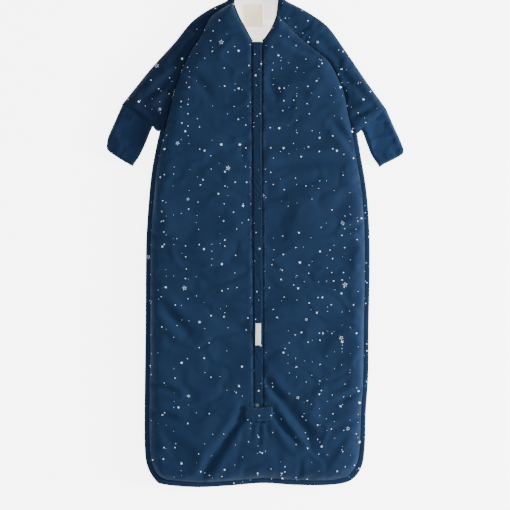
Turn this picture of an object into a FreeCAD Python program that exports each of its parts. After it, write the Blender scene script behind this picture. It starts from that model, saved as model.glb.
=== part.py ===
"""A sleeved baby sleeping bag, lying flat on its back, zipped up.

Millimetres. X runs across the bag towards the wearer's left, Y from the hem towards the head and Z up
out of the front. The origin lies under the middle of the bag, on the surface that it rests on.
"""
import FreeCAD, Part
import math
import os

import Sketcher
from FreeCAD import Placement, Rotation, Vector

doc = FreeCAD.newDocument("BabySleepingBag")

# ---------------------------------------------------------------- driving dimensions
# Heights are measured from the hem towards the head, half widths from the middle line.

DRIVING = {
    # cloth and padding
    "jersey": (1.0, "thickness of the outer jersey"),
    "wadding": (9.0, "thickness of the body's padding on each side"),
    "sleeve_wadding": (3.0, "thickness of the sleeves' padding on each side"),
    "lining": (0.8, "thickness of the lining"),
    "body_room": (14.0, "height of the space inside the body"),
    "sleeve_room": (12.4, "height of the space inside a sleeve"),
    "body_bevel": (10.0, "how far the padded body slopes down to its seams"),
    "sleeve_bevel": (6.0, "how far the padded sleeve slopes down to its seams"),
    "cloth_gap": (0.3, "space that a loose piece keeps from its neighbours"),
    # neck
    "shoulder_height": (903.0, "hem to the neck end of the shoulder"),
    "shoulder_half_width": (43.0, "middle to the neck end of the shoulder"),
    "back_neck_dip": (10.0, "how far the back neckline dips"),
    "raglan_drop": (35.0, "neck end of the shoulder down to that of the front raglan seam"),
    "raglan_half_width": (38.0, "middle to the neck end of the front raglan seam"),
    "neck_drop": (86.0, "neck end of the shoulder down to the bottom of the front neckline"),
    "binding_width": (2.5, "thickness of the neck binding"),
    "binding_rise": (12.0, "height of the back neck binding"),
    "front_binding_rise": (19.2, "height of the front neck binding"),
    # body
    "armpit_height": (659.0, "hem to the armpit"),
    "armpit_half_width": (176.0, "middle to the armpit"),
    "raglan_bulge": (30.0, "how far the raglan seam curves out of its chord"),
    "hip_height": (400.0, "hem to the widest place"),
    "hip_half_width": (197.0, "middle to the side seam at the widest place"),
    "side_bulge": (7.0, "curve of the side seam above the widest place"),
    "hem_half_width": (194.0, "middle to the side seam above the hem's corner"),
    "hem_corner_radius": (42.0, "radius of the padded body's lower corners"),
    "flange_width": (9.0, "width of the flat edge round the sides and hem"),
    "flange_thickness": (3.0, "thickness of the flat edge"),
    "flange_start": (4.0, "how far the flat edge stands out at the armpit"),
    # sleeve and cuff
    "sleeve_outer_rise": (39.0, "armpit up to the upper end of the cuff seam"),
    "sleeve_outer_reach": (243.0, "middle to the upper end of the cuff seam"),
    "sleeve_inner_rise": (1.0, "armpit up to the lower end of the cuff seam"),
    "sleeve_inner_reach": (193.0, "middle to the lower end of the cuff seam"),
    "shoulder_bulge": (21.0, "curve of the sleeve's upper edge"),
    "armhole_margin": (52.0, "raglan seam left closed at each end of the armhole"),
    "armhole_reach": (34.0, "how far the armhole's passage runs to each side"),
    "cuff_step": (2.5, "how much narrower the cuff is than the sleeve at each edge"),
    "cuff_outer_drop": (37.0, "armpit down to the outer corner of the cuff's end"),
    "cuff_outer_reach": (274.0, "middle to the outer corner of the cuff's end"),
    "cuff_inner_drop": (68.5, "armpit down to the inner corner of the cuff's end"),
    "cuff_inner_reach": (227.0, "middle to the inner corner of the cuff's end"),
    "cuff_corner": (9.0, "length cut off the cuff's outer corner by its rounding"),
    "cuff_wall": (2.0, "thickness of the doubled jersey of a cuff"),
    "cuff_room": (10.0, "height of the space inside a cuff"),
    "cuff_bevel": (2.6, "how far the cuff slopes down along its edges"),
    "cuff_tuck": (15.0, "how far the cuff's space runs into the sleeve"),
    "mitt_length": (42.0, "length of the mitten flap from the cuff's end"),
    "mitt_thickness": (2.0, "thickness of the mitten flap"),
    # zip
    "zip_end_height": (126.0, "hem to the lower end of the zip"),
    "slot_half_width": (9.0, "half the distance between the front's two zip edges"),
    "slot_flare": (1.0, "how much the zip edges are rounded back at the top"),
    "slot_flare_depth": (1.0, "depth of that rounding"),
    "channel_half_width": (6.5, "half the distance between the lining's zip edges"),
    "tape_width": (12.4, "width of one zip tape"),
    "tape_thickness": (0.8, "thickness of a zip tape"),
    "bead_outer": (3.2, "middle of the zip to the outside of a row of teeth"),
    "bead_width": (0.9, "width of the bead that carries the teeth"),
    "teeth_thickness": (2.0, "height of the teeth"),
    "tooth_pitch": (8.0, "distance from tooth to tooth in one row"),
    "tooth_width": (3.5, "width of a tooth along the zip"),
    "tooth_cross": (0.9, "how far a tooth passes the middle of the zip"),
    "stop_length": (3.0, "length of a zip stop"),
    "stop_rise": (0.4, "how far a stop stands above and below the tape"),
    "slider_length": (14.0, "length of a slider"),
    "slider_half_width": (4.6, "half the width of a slider"),
    "slider_plate": (1.0, "thickness of a slider's plates"),
    "slider_rim": (0.8, "width of a slider's side rims"),
    "slider_corner": (1.6, "length cut off a slider's corners"),
    "post_length": (3.2, "length of the wedge that parts the teeth"),
    "post_half_width": (1.6, "half the width of that wedge"),
    "lug_length": (3.6, "length of the lug that holds a pull"),
    "lug_half_width": (0.9, "half the thickness of the lug"),
    "lug_rise": (1.44, "height of the lug over the middle of the pin"),
    "pin_height": (1.0, "height of the pull's pin over the slider"),
    "pin_radius": (0.5, "radius of the pull's pin"),
    "pull_length": (18.0, "length of a pull from its pin"),
    "pull_half_width": (3.2, "half the width of a pull"),
    "pull_arm": (1.2, "width of a pull's arms"),
    "pull_corner": (1.2, "length cut off a pull's corners"),
    "pull_window": (5.5, "length of the opening between the arms"),
    "guard_half_width": (15.0, "half the width of the inner zip guard"),
    "guard_overrun": (6.0, "how far the inner guard runs past the zip's lower end"),
    # cover strip, patch and labels
    "cover_recess": (0.3, "how far the cover strip lies below the front's surface"),
    "cover_thickness": (1.0, "thickness of the cover strip"),
    "patch_half_width": (25.0, "half the width of the patch over the zip's end"),
    "patch_length": (31.0, "length of that patch along the bag"),
    "patch_low_height": (123.0, "hem to the patch's lower edge"),
    "patch_thickness": (2.0, "thickness of the patch"),
    "patch_corner": (3.0, "rounding of the patch's corners"),
    "flag_height": (262.0, "hem to the flag label's lower edge"),
    "flag_length": (40.0, "length of the flag label along the zip"),
    "flag_width": (10.0, "width of the flag label"),
    "flag_seam": (2.0, "cover strip's sewn edge to the flag label"),
    "label_thickness": (0.5, "thickness of a woven label"),
    "neck_label_width": (37.0, "width of the neck label"),
    "neck_label_length": (43.0, "length of the neck label"),
    "neck_label_offset": (8.0, "middle of the bag to the middle of the neck label"),
    "care_label_width": (17.0, "width of the care label"),
    "care_label_length": (30.0, "length of the care label"),
    "care_label_offset": (20.0, "middle of the bag to the middle of the care label"),
    "label_drop": (0.5, "space between the neck binding and the labels"),
}

sheet = doc.addObject("Spreadsheet::Sheet", "Sizes")
for row, (alias, (number, meaning)) in enumerate(DRIVING.items(), start=1):
    sheet.set(f"A{row}", str(number))
    sheet.setAlias(f"A{row}", alias)
    sheet.set(f"B{row}", meaning)
doc.recompute()


class Term:
    """A length that knows its number and the spreadsheet expression that it comes from."""

    def __init__(self, value, text):
        self.value = value
        self.text = text

    def joined(self, other, sign, value):
        return Term(value, f"({self.text} {sign} {other.text})")

    def __add__(self, other):
        other = term(other)
        return self.joined(other, "+", self.value + other.value)

    def __sub__(self, other):
        other = term(other)
        return self.joined(other, "-", self.value - other.value)

    def __mul__(self, other):
        other = term(other)
        return self.joined(other, "*", self.value * other.value)

    def __truediv__(self, other):
        other = term(other)
        return self.joined(other, "/", self.value / other.value)

    def __neg__(self):
        return Term(-self.value, f"(0 - {self.text})")

    def root(self):
        return Term(math.sqrt(self.value), f"sqrt({self.text})")


def term(number):
    return number if isinstance(number, Term) else Term(float(number), str(number))


def size(alias):
    """The named size as a Term."""
    return Term(float(sheet.get(alias)), f"Sizes.{alias}")


def bind(thing, name, length):
    """Sets a property of an object to a Term, and keeps it bound to the sheet."""
    thing.setExpression(name, term(length).text)


# ---------------------------------------------------------------- levels and shared places

ZERO = term(0)
JERSEY = size("jersey")
LINING = size("lining")
GAP = size("cloth_gap")
HALF_LENGTH = size("shoulder_height") / 2


def up(height):
    """Y of a height above the hem."""
    return height - HALF_LENGTH


BODY_WALL = JERSEY + size("wadding") + LINING
BODY_TOP = BODY_WALL * 2 + size("body_room")
BODY_MIDDLE = BODY_TOP / 2
SLEEVE_WALL = JERSEY + size("sleeve_wadding") + LINING
SLEEVE_TOP = SLEEVE_WALL * 2 + size("sleeve_room")
ROOM_TOP = BODY_TOP - BODY_WALL
CUFF_LOW = SLEEVE_WALL - size("cuff_wall")
CUFF_TOP = CUFF_LOW + size("cuff_wall") * 2 + size("cuff_room")

# levels of the zip, from the lining's inner face upwards
SLIDER_LOW = ROOM_TOP + GAP
SLIDER_FLOOR = SLIDER_LOW + size("slider_plate")
TEETH_LOW = SLIDER_FLOOR + GAP
TEETH_TOP = TEETH_LOW + size("teeth_thickness")
SLIDER_ROOF = TEETH_TOP + GAP
SLIDER_TOP = SLIDER_ROOF + size("slider_plate")
TAPE_LOW = TEETH_LOW + (size("teeth_thickness") - size("tape_thickness")) / 2
TAPE_TOP = TAPE_LOW + size("tape_thickness")
COVER_TOP = BODY_TOP - size("cover_recess")

SHOULDER = (size("shoulder_half_width"), up(size("shoulder_height")))
RAGLAN = (size("raglan_half_width"), up(size("shoulder_height") - size("raglan_drop")))
ARMPIT = (size("armpit_half_width"), up(size("armpit_height")))
SLEEVE_OUTER_Y = up(size("armpit_height") + size("sleeve_outer_rise"))
SLEEVE_INNER_Y = up(size("armpit_height") + size("sleeve_inner_rise"))
CUFF_OUTER_Y = up(size("armpit_height") - size("cuff_outer_drop"))
CUFF_INNER_Y = up(size("armpit_height") - size("cuff_inner_drop"))
ZIP_END = up(size("zip_end_height"))
NECK = up(size("shoulder_height") - size("neck_drop"))
# the shoulder corner's way inwards, on which both the body and the neck opening shrink
SHOULDER_INWARD = (-1.24, -1.65)
# a quarter circle stands this share of its radius outside its chord
QUARTER_BULGE = 1 - math.sqrt(0.5)
# where a wall follows a bevel, the bevel's inner face is this share of the wall's thickness smaller
BEVEL_SHARE = 2 - math.sqrt(2)
# a padded form's curved edge is drawn as this many straight ones
CURVE_STEPS = 4


# ---------------------------------------------------------------- building blocks

class Corner:
    """A corner of an outline. `inward` says how it moves when the outline shrinks by 1 mm, and
    `bulge` how far the edge from it to the next corner curves outwards."""

    def __init__(self, x, y, inward=(0, 0), bulge=None):
        self.x = term(x)
        self.y = term(y)
        self.inward = inward
        self.bulge = bulge

    def moved(self, inset):
        kx, ky = self.inward
        return Corner(self.x + inset * kx, self.y + inset * ky, self.inward, self.bulge)


def mirrored_half(right_half):
    """Adds to a list of corners, from the hem up to the neck, the same corners on the other side."""
    left_half = []
    for number, corner in enumerate(reversed(right_half)):
        kx, ky = corner.inward
        before = len(right_half) - 2 - number
        bulge = right_half[before].bulge if before >= 0 else None
        left_half.append(Corner(-corner.x, corner.y, (-kx, ky), bulge))
    return right_half + left_half


def in_steps(start, end, steps):
    """The curved edge from start to end as that many straight ones: start and the corners between."""
    width = end.x - start.x
    rise = end.y - start.y
    length = (width * width + rise * rise).root()
    forward_x = width.value / length.value
    forward_y = rise.value / length.value
    corners = [Corner(start.x, start.y, start.inward)]
    for number in range(1, steps):
        share = number / steps
        height = start.bulge * (4 * share * (1 - share)) / length
        slope = 4 * (1 - 2 * share) * start.bulge.value / length.value
        inward = (slope * forward_x - forward_y, slope * forward_y + forward_x)
        size_of_inward = math.hypot(*inward)
        inward = (inward[0] / size_of_inward, inward[1] / size_of_inward)
        corners.append(Corner(start.x + width * share + rise * height,
                              start.y + rise * share - width * height, inward))
    return corners


def radius_over(start, end, bulge):
    """Radius of the arc over the chord from start to end that stands `bulge` high."""
    width = end.x - start.x
    rise = end.y - start.y
    chord_squared = width * width + rise * rise
    return (chord_squared / 4 + bulge * bulge) / (bulge * 2)


def arc_between(start, end, bulge):
    """The arc as sketch geometry, counter-clockwise, and whether it runs from start to end."""
    forward = bulge.value > 0
    first, last = (start, end) if forward else (end, start)
    height = abs(bulge.value)
    a = Vector(first.x.value, first.y.value, 0)
    b = Vector(last.x.value, last.y.value, 0)
    chord = b - a
    outward = Vector(chord.y, -chord.x, 0).normalize()
    radius = (chord.Length ** 2 / 4 + height ** 2) / (2 * height)
    centre = (a + b) / 2 - outward * (radius - height)
    angles = [math.atan2(p.y - centre.y, p.x - centre.x) for p in (a, b)]
    circle = Part.Circle(centre, Vector(0, 0, 1), radius)
    return Part.ArcOfCircle(circle, angles[0], angles[1]), forward


def plane_of(body, role):
    return next(p for p in body.Origin.OriginFeatures if p.Role == role)


def outline_sketch(body, name, corners, level, role="XY_Plane"):
    """A closed outline through the corners, each held by its distances from the origin."""
    sketch = body.newObject("Sketcher::SketchObject", name)
    sketch.AttachmentSupport = [(plane_of(body, role), "")]
    sketch.MapMode = "FlatFace"
    bind(sketch, "AttachmentOffset.Base.z", level)
    ends = []
    for number, corner in enumerate(corners):
        after = corners[(number + 1) % len(corners)]
        if corner.bulge is None:
            a = Vector(corner.x.value, corner.y.value, 0)
            b = Vector(after.x.value, after.y.value, 0)
            sketch.addGeometry(Part.LineSegment(a, b))
            ends.append((1, 2))
        else:
            bulge = term(corner.bulge)
            arc, forward = arc_between(corner, after, bulge)
            sketch.addGeometry(arc)
            ends.append((1, 2) if forward else (2, 1))
    for number, corner in enumerate(corners):
        following = (number + 1) % len(corners)
        joint = Sketcher.Constraint("Coincident", number, ends[number][1], following, ends[following][0])
        sketch.addConstraint(joint)
    for number, corner in enumerate(corners):
        for kind, length in (("DistanceX", corner.x), ("DistanceY", corner.y)):
            rule = Sketcher.Constraint(kind, -1, 1, number, ends[number][0], length.value)
            held = sketch.addConstraint(rule)
            bind(sketch, f"Constraints[{held}]", length)
    for number, corner in enumerate(corners):
        if corner.bulge is not None:
            after = corners[(number + 1) % len(corners)]
            bulge = term(corner.bulge)
            height = bulge if bulge.value > 0 else -bulge
            radius = radius_over(corner, after, height)
            held = sketch.addConstraint(Sketcher.Constraint("Radius", number, radius.value))
            bind(sketch, f"Constraints[{held}]", radius)
    return sketch


def prism(name, corners, low, high):
    """A body padded upwards from an outline."""
    body = doc.addObject("PartDesign::Body", name)
    sketch = outline_sketch(body, name + "Outline", corners, low)
    pad = body.newObject("PartDesign::Pad", name + "Pad")
    pad.Profile = sketch
    bind(pad, "Length", high - low)
    return body


def pillow(name, outline, inset, low, high, bevel):
    """A padded form: its outline shrinks towards its lower and upper faces."""
    body = doc.addObject("PartDesign::Body", name)
    low, high = term(low), term(high)
    sections = [
        (low, inset + bevel),
        (low + bevel, inset),
        (high - bevel, inset),
        (high, inset + bevel),
    ]
    sketches = []
    for number, (level, step) in enumerate(sections):
        sketches.append(outline_sketch(body, f"{name}Section{number}", outline(step), level))
    loft = body.newObject("PartDesign::AdditiveLoft", name + "Loft")
    loft.Profile = sketches[0]
    loft.Sections = sketches[1:]
    loft.Ruled = True
    return body


def box(name, x, y, z):
    """A box between two X, two Y and two Z values."""
    solid = doc.addObject("Part::Box", name)
    for side, place, (low, high) in (("Length", "x", x), ("Width", "y", y), ("Height", "z", z)):
        bind(solid, side, term(high) - low)
        bind(solid, f"Placement.Base.{place}", low)
    return solid


def fused(name, *solids):
    joined = doc.addObject("Part::MultiFuse", name)
    joined.Shapes = list(solids)
    return joined


def cut(name, base, *tools):
    rest = doc.addObject("Part::Cut", name)
    rest.Base = base
    rest.Tool = tools[0] if len(tools) == 1 else fused(name + "Tools", *tools)
    return rest


def mirrored(name, solid):
    """The same piece on the other side of the bag."""
    image = doc.addObject("Part::Mirroring", name)
    image.Source = solid
    image.Normal = (1, 0, 0)
    return image


SUBPARTS = []


def subpart(solid, label):
    """Gives a finished piece the name of its node."""
    solid.Label = label
    SUBPARTS.append(solid)
    return solid


# ---------------------------------------------------------------- outlines

def body_outline(inset):
    """The padded body in plan, without its flat edge."""
    hem = up(ZERO)
    corner = size("hem_corner_radius")
    side = size("hem_half_width")
    hem_end = Corner(side - corner, hem + size("flange_width"), (0, 1), corner * QUARTER_BULGE)
    side_start = Corner(side, hem + size("flange_width") + corner, (-1, 0))
    hip = Corner(size("hip_half_width"), up(size("hip_height")), (-1, 0), size("side_bulge"))
    armpit = Corner(*ARMPIT, (-1, -0.1), size("raglan_bulge"))
    raglan = Corner(*RAGLAN, (-1.09, -0.53))
    shoulder = Corner(*SHOULDER, SHOULDER_INWARD, -size("back_neck_dip"))
    half = [
        *in_steps(hem_end, side_start, CURVE_STEPS),
        side_start,
        *in_steps(hip, armpit, CURVE_STEPS),
        *in_steps(armpit, raglan, CURVE_STEPS),
        raglan,
        shoulder,
    ]
    return [corner.moved(inset) for corner in mirrored_half(half)]


def flange_outline():
    """The outside of the flat edge, closed by a straight line from armpit to armpit."""
    hem = up(ZERO)
    width = size("flange_width")
    corner = size("hem_corner_radius") + width
    side = size("hem_half_width") + width
    half = [
        Corner(side - corner, hem, bulge=corner * QUARTER_BULGE),
        Corner(side, hem + corner),
        Corner(size("hip_half_width") + width, up(size("hip_height")), bulge=size("side_bulge")),
        Corner(ARMPIT[0] + size("flange_start"), ARMPIT[1]),
    ]
    return mirrored_half(half)


def sleeve_outline(inset):
    """The padded left sleeve in plan: armpit, cuff seam, shoulder, neck edge, raglan seam."""
    armpit = Corner(*ARMPIT, (0.52, 1.04))
    seam_inner = Corner(size("sleeve_inner_reach"), SLEEVE_INNER_Y, (-0.36, 0.98))
    seam_outer = Corner(size("sleeve_outer_reach"), SLEEVE_OUTER_Y, (-1.27, 0.3),
                        size("shoulder_bulge"))
    shoulder = Corner(*SHOULDER, (0.79, -1.55))
    raglan = Corner(*RAGLAN, (1.09, 0.53), -size("raglan_bulge"))
    corners = [
        armpit,
        seam_inner,
        *in_steps(seam_outer, shoulder, CURVE_STEPS),
        shoulder,
        *in_steps(raglan, armpit, CURVE_STEPS),
    ]
    return [corner.moved(inset) for corner in corners]


def along(start, end, distance):
    """The point at a distance from start on the way to end."""
    width = end[0] - start[0]
    rise = end[1] - start[1]
    share = distance / (width * width + rise * rise).root()
    return start[0] + width * share, start[1] + rise * share


SEAM_INNER = (size("sleeve_inner_reach"), SLEEVE_INNER_Y)
SEAM_OUTER = (size("sleeve_outer_reach"), SLEEVE_OUTER_Y)
CUFF_INNER = (size("cuff_inner_reach"), CUFF_INNER_Y)
CUFF_OUTER = (size("cuff_outer_reach"), CUFF_OUTER_Y)
CUFF_START_INNER = along(SEAM_INNER, SEAM_OUTER, size("cuff_step"))
CUFF_START_OUTER = along(SEAM_OUTER, SEAM_INNER, size("cuff_step"))


def cuff_corners(inner_start, outer_start):
    """The left cuff in plan from the given start to its end, with its outer corner rounded."""
    before = along(CUFF_OUTER, CUFF_INNER, size("cuff_corner"))
    after = along(CUFF_OUTER, outer_start, size("cuff_corner"))
    return [
        Corner(*inner_start, (0.82, 0.61)),
        Corner(*CUFF_INNER, (0.42, 1.48)),
        Corner(*before, (-1.25, 0.36), size("cuff_corner") * QUARTER_BULGE),
        Corner(*after, (-1.25, 0.36)),
        Corner(*outer_start, (-0.82, -0.61)),
    ]


def cuff_outline(inset):
    corners = cuff_corners(CUFF_START_INNER, CUFF_START_OUTER)
    return [corner.moved(inset) for corner in corners]


# ---------------------------------------------------------------- the space inside

body_solid = pillow("BodySolid", body_outline, ZERO, ZERO, BODY_TOP, size("body_bevel"))
body_padding = pillow("BodyPadding", body_outline, JERSEY, JERSEY, BODY_TOP - JERSEY,
                      size("body_bevel") - JERSEY * BEVEL_SHARE)
body_lining = prism("BodyLining", body_outline(BODY_WALL - LINING), BODY_WALL - LINING,
                    ROOM_TOP + LINING)
body_room = prism("BodyRoom", body_outline(BODY_WALL), BODY_WALL, ROOM_TOP)

sleeve_solid = pillow("SleeveSolid", sleeve_outline, ZERO, ZERO, SLEEVE_TOP,
                      size("sleeve_bevel"))
sleeve_padding = pillow("SleevePadding", sleeve_outline, JERSEY, JERSEY, SLEEVE_TOP - JERSEY,
                        size("sleeve_bevel") - JERSEY * BEVEL_SHARE)
sleeve_lining = prism("SleeveLining", sleeve_outline(SLEEVE_WALL - LINING), SLEEVE_WALL - LINING,
                      SLEEVE_TOP - SLEEVE_WALL + LINING)
sleeve_room = prism("SleeveRoom", sleeve_outline(SLEEVE_WALL), SLEEVE_WALL,
                    SLEEVE_TOP - SLEEVE_WALL)


def armhole_corners():
    """A quadrilateral across the raglan seam, clear of the seam's two ends."""
    top = along(RAGLAN, ARMPIT, size("armhole_margin"))
    low = along(ARMPIT, RAGLAN, size("armhole_margin"))
    width = ARMPIT[0] - RAGLAN[0]
    rise = ARMPIT[1] - RAGLAN[1]
    share = term(1) / (width * width + rise * rise).root()
    towards_sleeve = (-rise * share, width * share)
    body_side = size("armhole_reach")
    sleeve_side = size("raglan_bulge") + size("armhole_reach") / 2
    return [
        Corner(top[0] - towards_sleeve[0] * body_side, top[1] - towards_sleeve[1] * body_side),
        Corner(low[0] - towards_sleeve[0] * body_side, low[1] - towards_sleeve[1] * body_side),
        Corner(low[0] + towards_sleeve[0] * sleeve_side, low[1] + towards_sleeve[1] * sleeve_side),
        Corner(top[0] + towards_sleeve[0] * sleeve_side, top[1] + towards_sleeve[1] * sleeve_side),
    ]


armhole_left = prism("ArmholeLeft", armhole_corners(), BODY_WALL, SLEEVE_TOP - SLEEVE_WALL)
armhole_right = mirrored("ArmholeRight", armhole_left)


def cuff_room_corners():
    """The cuff's space in plan, run on into the sleeve and out of the cuff's end."""
    wall = size("cuff_wall")
    tuck = size("cuff_tuck")
    inner_start = along(CUFF_START_INNER, CUFF_START_OUTER, wall)
    outer_start = along(CUFF_START_OUTER, CUFF_START_INNER, wall)
    inner_end = along(CUFF_INNER, CUFF_OUTER, wall)
    outer_end = along(CUFF_OUTER, CUFF_INNER, wall)
    return [
        Corner(*along(inner_start, inner_end, -tuck)),
        Corner(*along(inner_end, inner_start, -tuck)),
        Corner(*along(outer_end, outer_start, -tuck)),
        Corner(*along(outer_start, outer_end, -tuck)),
    ]


cuff_room = prism("CuffRoom", cuff_room_corners(), SLEEVE_WALL, CUFF_TOP - size("cuff_wall"))

# ---------------------------------------------------------------- zip opening and neck opening


def neck_corners(inset):
    """The neck opening seen from the front, closed by the back neckline."""
    half = [
        Corner(size("slot_half_width"), NECK, (-1, 1)),
        Corner(*RAGLAN, (-1.1, 0.4)),
        Corner(*SHOULDER, SHOULDER_INWARD, -size("back_neck_dip")),
    ]
    return [corner.moved(inset) for corner in mirrored_half(half)]


def slot_profile(widening):
    """The slot between the two zip edges seen along the bag, wider where the edges round back."""
    half = size("slot_half_width") + widening
    flared = half + size("slot_flare")
    rounding = BODY_TOP - size("slot_flare_depth")
    above = BODY_TOP + size("slot_flare_depth")
    return [
        Corner(half, TAPE_TOP),
        Corner(half, rounding),
        Corner(flared, BODY_TOP),
        Corner(flared, above),
        Corner(-flared, above),
        Corner(-flared, BODY_TOP),
        Corner(-half, rounding),
        Corner(-half, TAPE_TOP),
    ]


def slot(name, widening):
    """The slot as a solid, from the zip's lower end out through the neck."""
    body = doc.addObject("PartDesign::Body", name)
    start = ZIP_END - widening
    # the XZ plane's own third axis points to the hem, so the sketch is moved by minus Y
    sketch = outline_sketch(body, name + "Profile", slot_profile(widening), -start, "XZ_Plane")
    pad = body.newObject("PartDesign::Pad", name + "Pad")
    pad.Profile = sketch
    pad.Reversed = True
    bind(pad, "Length", SHOULDER[1] - start)
    return body


slot_outside = slot("SlotOutside", ZERO)
slot_padding = slot("SlotPadding", JERSEY)

HALF_SPAN = size("sleeve_outer_reach")
WHOLE_X = (-HALF_SPAN, HALF_SPAN)
WHOLE_Y = (up(ZERO) - size("flange_width"), SHOULDER[1] + size("flange_width"))
below_middle = box("BelowMiddle", WHOLE_X, WHOLE_Y, (-JERSEY, BODY_MIDDLE))
above_middle = box("AboveMiddle", WHOLE_X, WHOLE_Y, (BODY_MIDDLE, BODY_TOP + JERSEY))
neck_hole = prism("NeckHole", neck_corners(ZERO), BODY_WALL, BODY_TOP + JERSEY)

CHANNEL_X = (-size("channel_half_width"), size("channel_half_width"))
TURN_X = (CHANNEL_X[0] - LINING, CHANNEL_X[1] + LINING)
channel = box("Channel", CHANNEL_X, (ZIP_END, SHOULDER[1]), (BODY_MIDDLE, TAPE_TOP + GAP))
turn_space = box("TurnSpace", TURN_X, (ZIP_END - LINING, SHOULDER[1]), (ROOM_TOP, TAPE_TOP + GAP))
lining_turn = box("LiningTurn", TURN_X, (ZIP_END - LINING, NECK), (ROOM_TOP, TAPE_LOW))


# ---------------------------------------------------------------- zip tapes and teeth

TAPE_X = (size("bead_outer"), size("bead_outer") + size("tape_width"))
tape_left = subpart(box("ZipTapeLeft", TAPE_X, (ZIP_END, NECK), (TAPE_LOW, TAPE_TOP)),
                    "zip_tape_left")
tape_right = subpart(mirrored("ZipTapeRight", tape_left), "zip_tape_right")

SLIDER_LENGTH = size("slider_length")
BOTTOM_SLIDER_LOW = ZIP_END + size("stop_length") + GAP * 3
TOP_SLIDER_TOP = NECK - size("stop_length") - GAP * 3
TEETH_START = BOTTOM_SLIDER_LOW + size("post_length") + GAP
TEETH_END = TOP_SLIDER_TOP - size("post_length") - GAP


def teeth_row(name, label, side, shift):
    """One row of teeth on its bead. The two rows are shifted, so that they mesh."""
    pitch = sheet.tooth_pitch
    width = sheet.tooth_width
    start = TEETH_START.value
    outer = sheet.bead_outer
    inner = outer - sheet.bead_width
    count = int((TEETH_END.value - start - pitch) / pitch)
    end = start + (count + 1) * pitch
    points = [Vector(side * outer, start, 0)]
    for number in range(count):
        low = start + number * pitch + shift
        points.append(Vector(side * inner, low, 0))
        points.append(Vector(-side * sheet.tooth_cross, low, 0))
        points.append(Vector(-side * sheet.tooth_cross, low + width, 0))
        points.append(Vector(side * inner, low + width, 0))
    points.append(Vector(side * inner, end, 0))
    points.append(Vector(side * outer, end, 0))
    points.insert(1, Vector(side * inner, start, 0))
    face = Part.Face(Part.makePolygon(points + points[:1]))
    row = doc.addObject("Part::Feature", name)
    row.Shape = face.extrude(Vector(0, 0, sheet.teeth_thickness))
    row.Placement = Placement(Vector(0, 0, TEETH_LOW.value), Rotation())
    return subpart(row, label)


TOOTH_CLEARANCE = (sheet.tooth_pitch / 2 - sheet.tooth_width) / 2
teeth_row("ZipTeethLeft", "zip_teeth_left", 1, TOOTH_CLEARANCE)
teeth_row("ZipTeethRight", "zip_teeth_right", -1, TOOTH_CLEARANCE + sheet.tooth_pitch / 2)

STOP_Z = (TAPE_LOW - size("stop_rise"), TAPE_TOP + size("stop_rise"))
STOP_INNER = size("bead_outer") - size("bead_width") * 2
bottom_stop = box("ZipBottomStop", (-size("bead_outer"), size("bead_outer")),
                  (ZIP_END, ZIP_END + size("stop_length")), STOP_Z)
subpart(bottom_stop, "zip_bottom_stop")
top_stop_left = box("TopStopLeft", (STOP_INNER, size("bead_outer")),
                    (NECK - size("stop_length"), NECK), STOP_Z)
top_stops = fused("ZipTopStops", top_stop_left, mirrored("TopStopRight", top_stop_left))
subpart(top_stops, "zip_top_stops")


# ---------------------------------------------------------------- sliders and pulls

def clipped_corners(half, low, high, corner, bulge=None):
    """A rectangle about the middle line with its four corners cut off, or rounded by a bulge."""
    return [
        Corner(half - corner, low, bulge=bulge), Corner(half, low + corner),
        Corner(half, high - corner, bulge=bulge), Corner(half - corner, high),
        Corner(corner - half, high, bulge=bulge), Corner(-half, high - corner),
        Corner(-half, low + corner, bulge=bulge), Corner(corner - half, low),
    ]


def slider(name, label, nose, towards):
    """A slider whose wedge end lies at `nose` and whose body runs from there `towards` +1 or -1."""
    half = size("slider_half_width")
    corner = size("slider_corner")
    back = nose + SLIDER_LENGTH * towards
    low, high = (nose, back) if towards > 0 else (back, nose)
    block = prism(name + "Block", clipped_corners(half, low, high, corner), SLIDER_LOW, SLIDER_TOP)
    inside = half - size("slider_rim")
    run = (low - GAP, high + GAP)
    chain_space = box(name + "ChainSpace", (-inside, inside), run, (SLIDER_FLOOR, SLIDER_ROOF))
    tape_space = box(name + "TapeSpace", (-half - GAP, half + GAP), run,
                     (TAPE_LOW - GAP, TAPE_TOP + GAP))
    hollow = cut(name + "Hollow", block, chain_space, tape_space)
    wedge_half = size("post_half_width")
    wedge_end = nose + size("post_length") * towards
    wedge_plan = [Corner(wedge_half, nose), Corner(ZERO, wedge_end), Corner(-wedge_half, nose)]
    if towards < 0:
        wedge_plan.reverse()
    wedge = prism(name + "Wedge", wedge_plan, SLIDER_LOW, SLIDER_TOP)
    pin_y = nose + (SLIDER_LENGTH / 2) * towards
    pin_z = SLIDER_TOP + size("pin_height")
    lug_half = size("lug_length") / 2
    lug_block = box(name + "LugBlock", (-size("lug_half_width"), size("lug_half_width")),
                    (pin_y - lug_half, pin_y + lug_half),
                    (SLIDER_TOP - size("slider_plate"), pin_z + size("lug_rise")))
    bore = doc.addObject("Part::Cylinder", name + "Bore")
    bind(bore, "Radius", size("pin_radius") + GAP)
    bind(bore, "Height", size("lug_half_width") * 4)
    bore.Placement = Placement(Vector(), Rotation(Vector(0, 1, 0), 90))
    bind(bore, "Placement.Base.x", -size("lug_half_width") * 2)
    bind(bore, "Placement.Base.y", pin_y)
    bind(bore, "Placement.Base.z", pin_z)
    lug = cut(name + "Lug", lug_block, bore)
    subpart(fused(name, hollow, wedge, lug), label)
    return pin_y, pin_z


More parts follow.
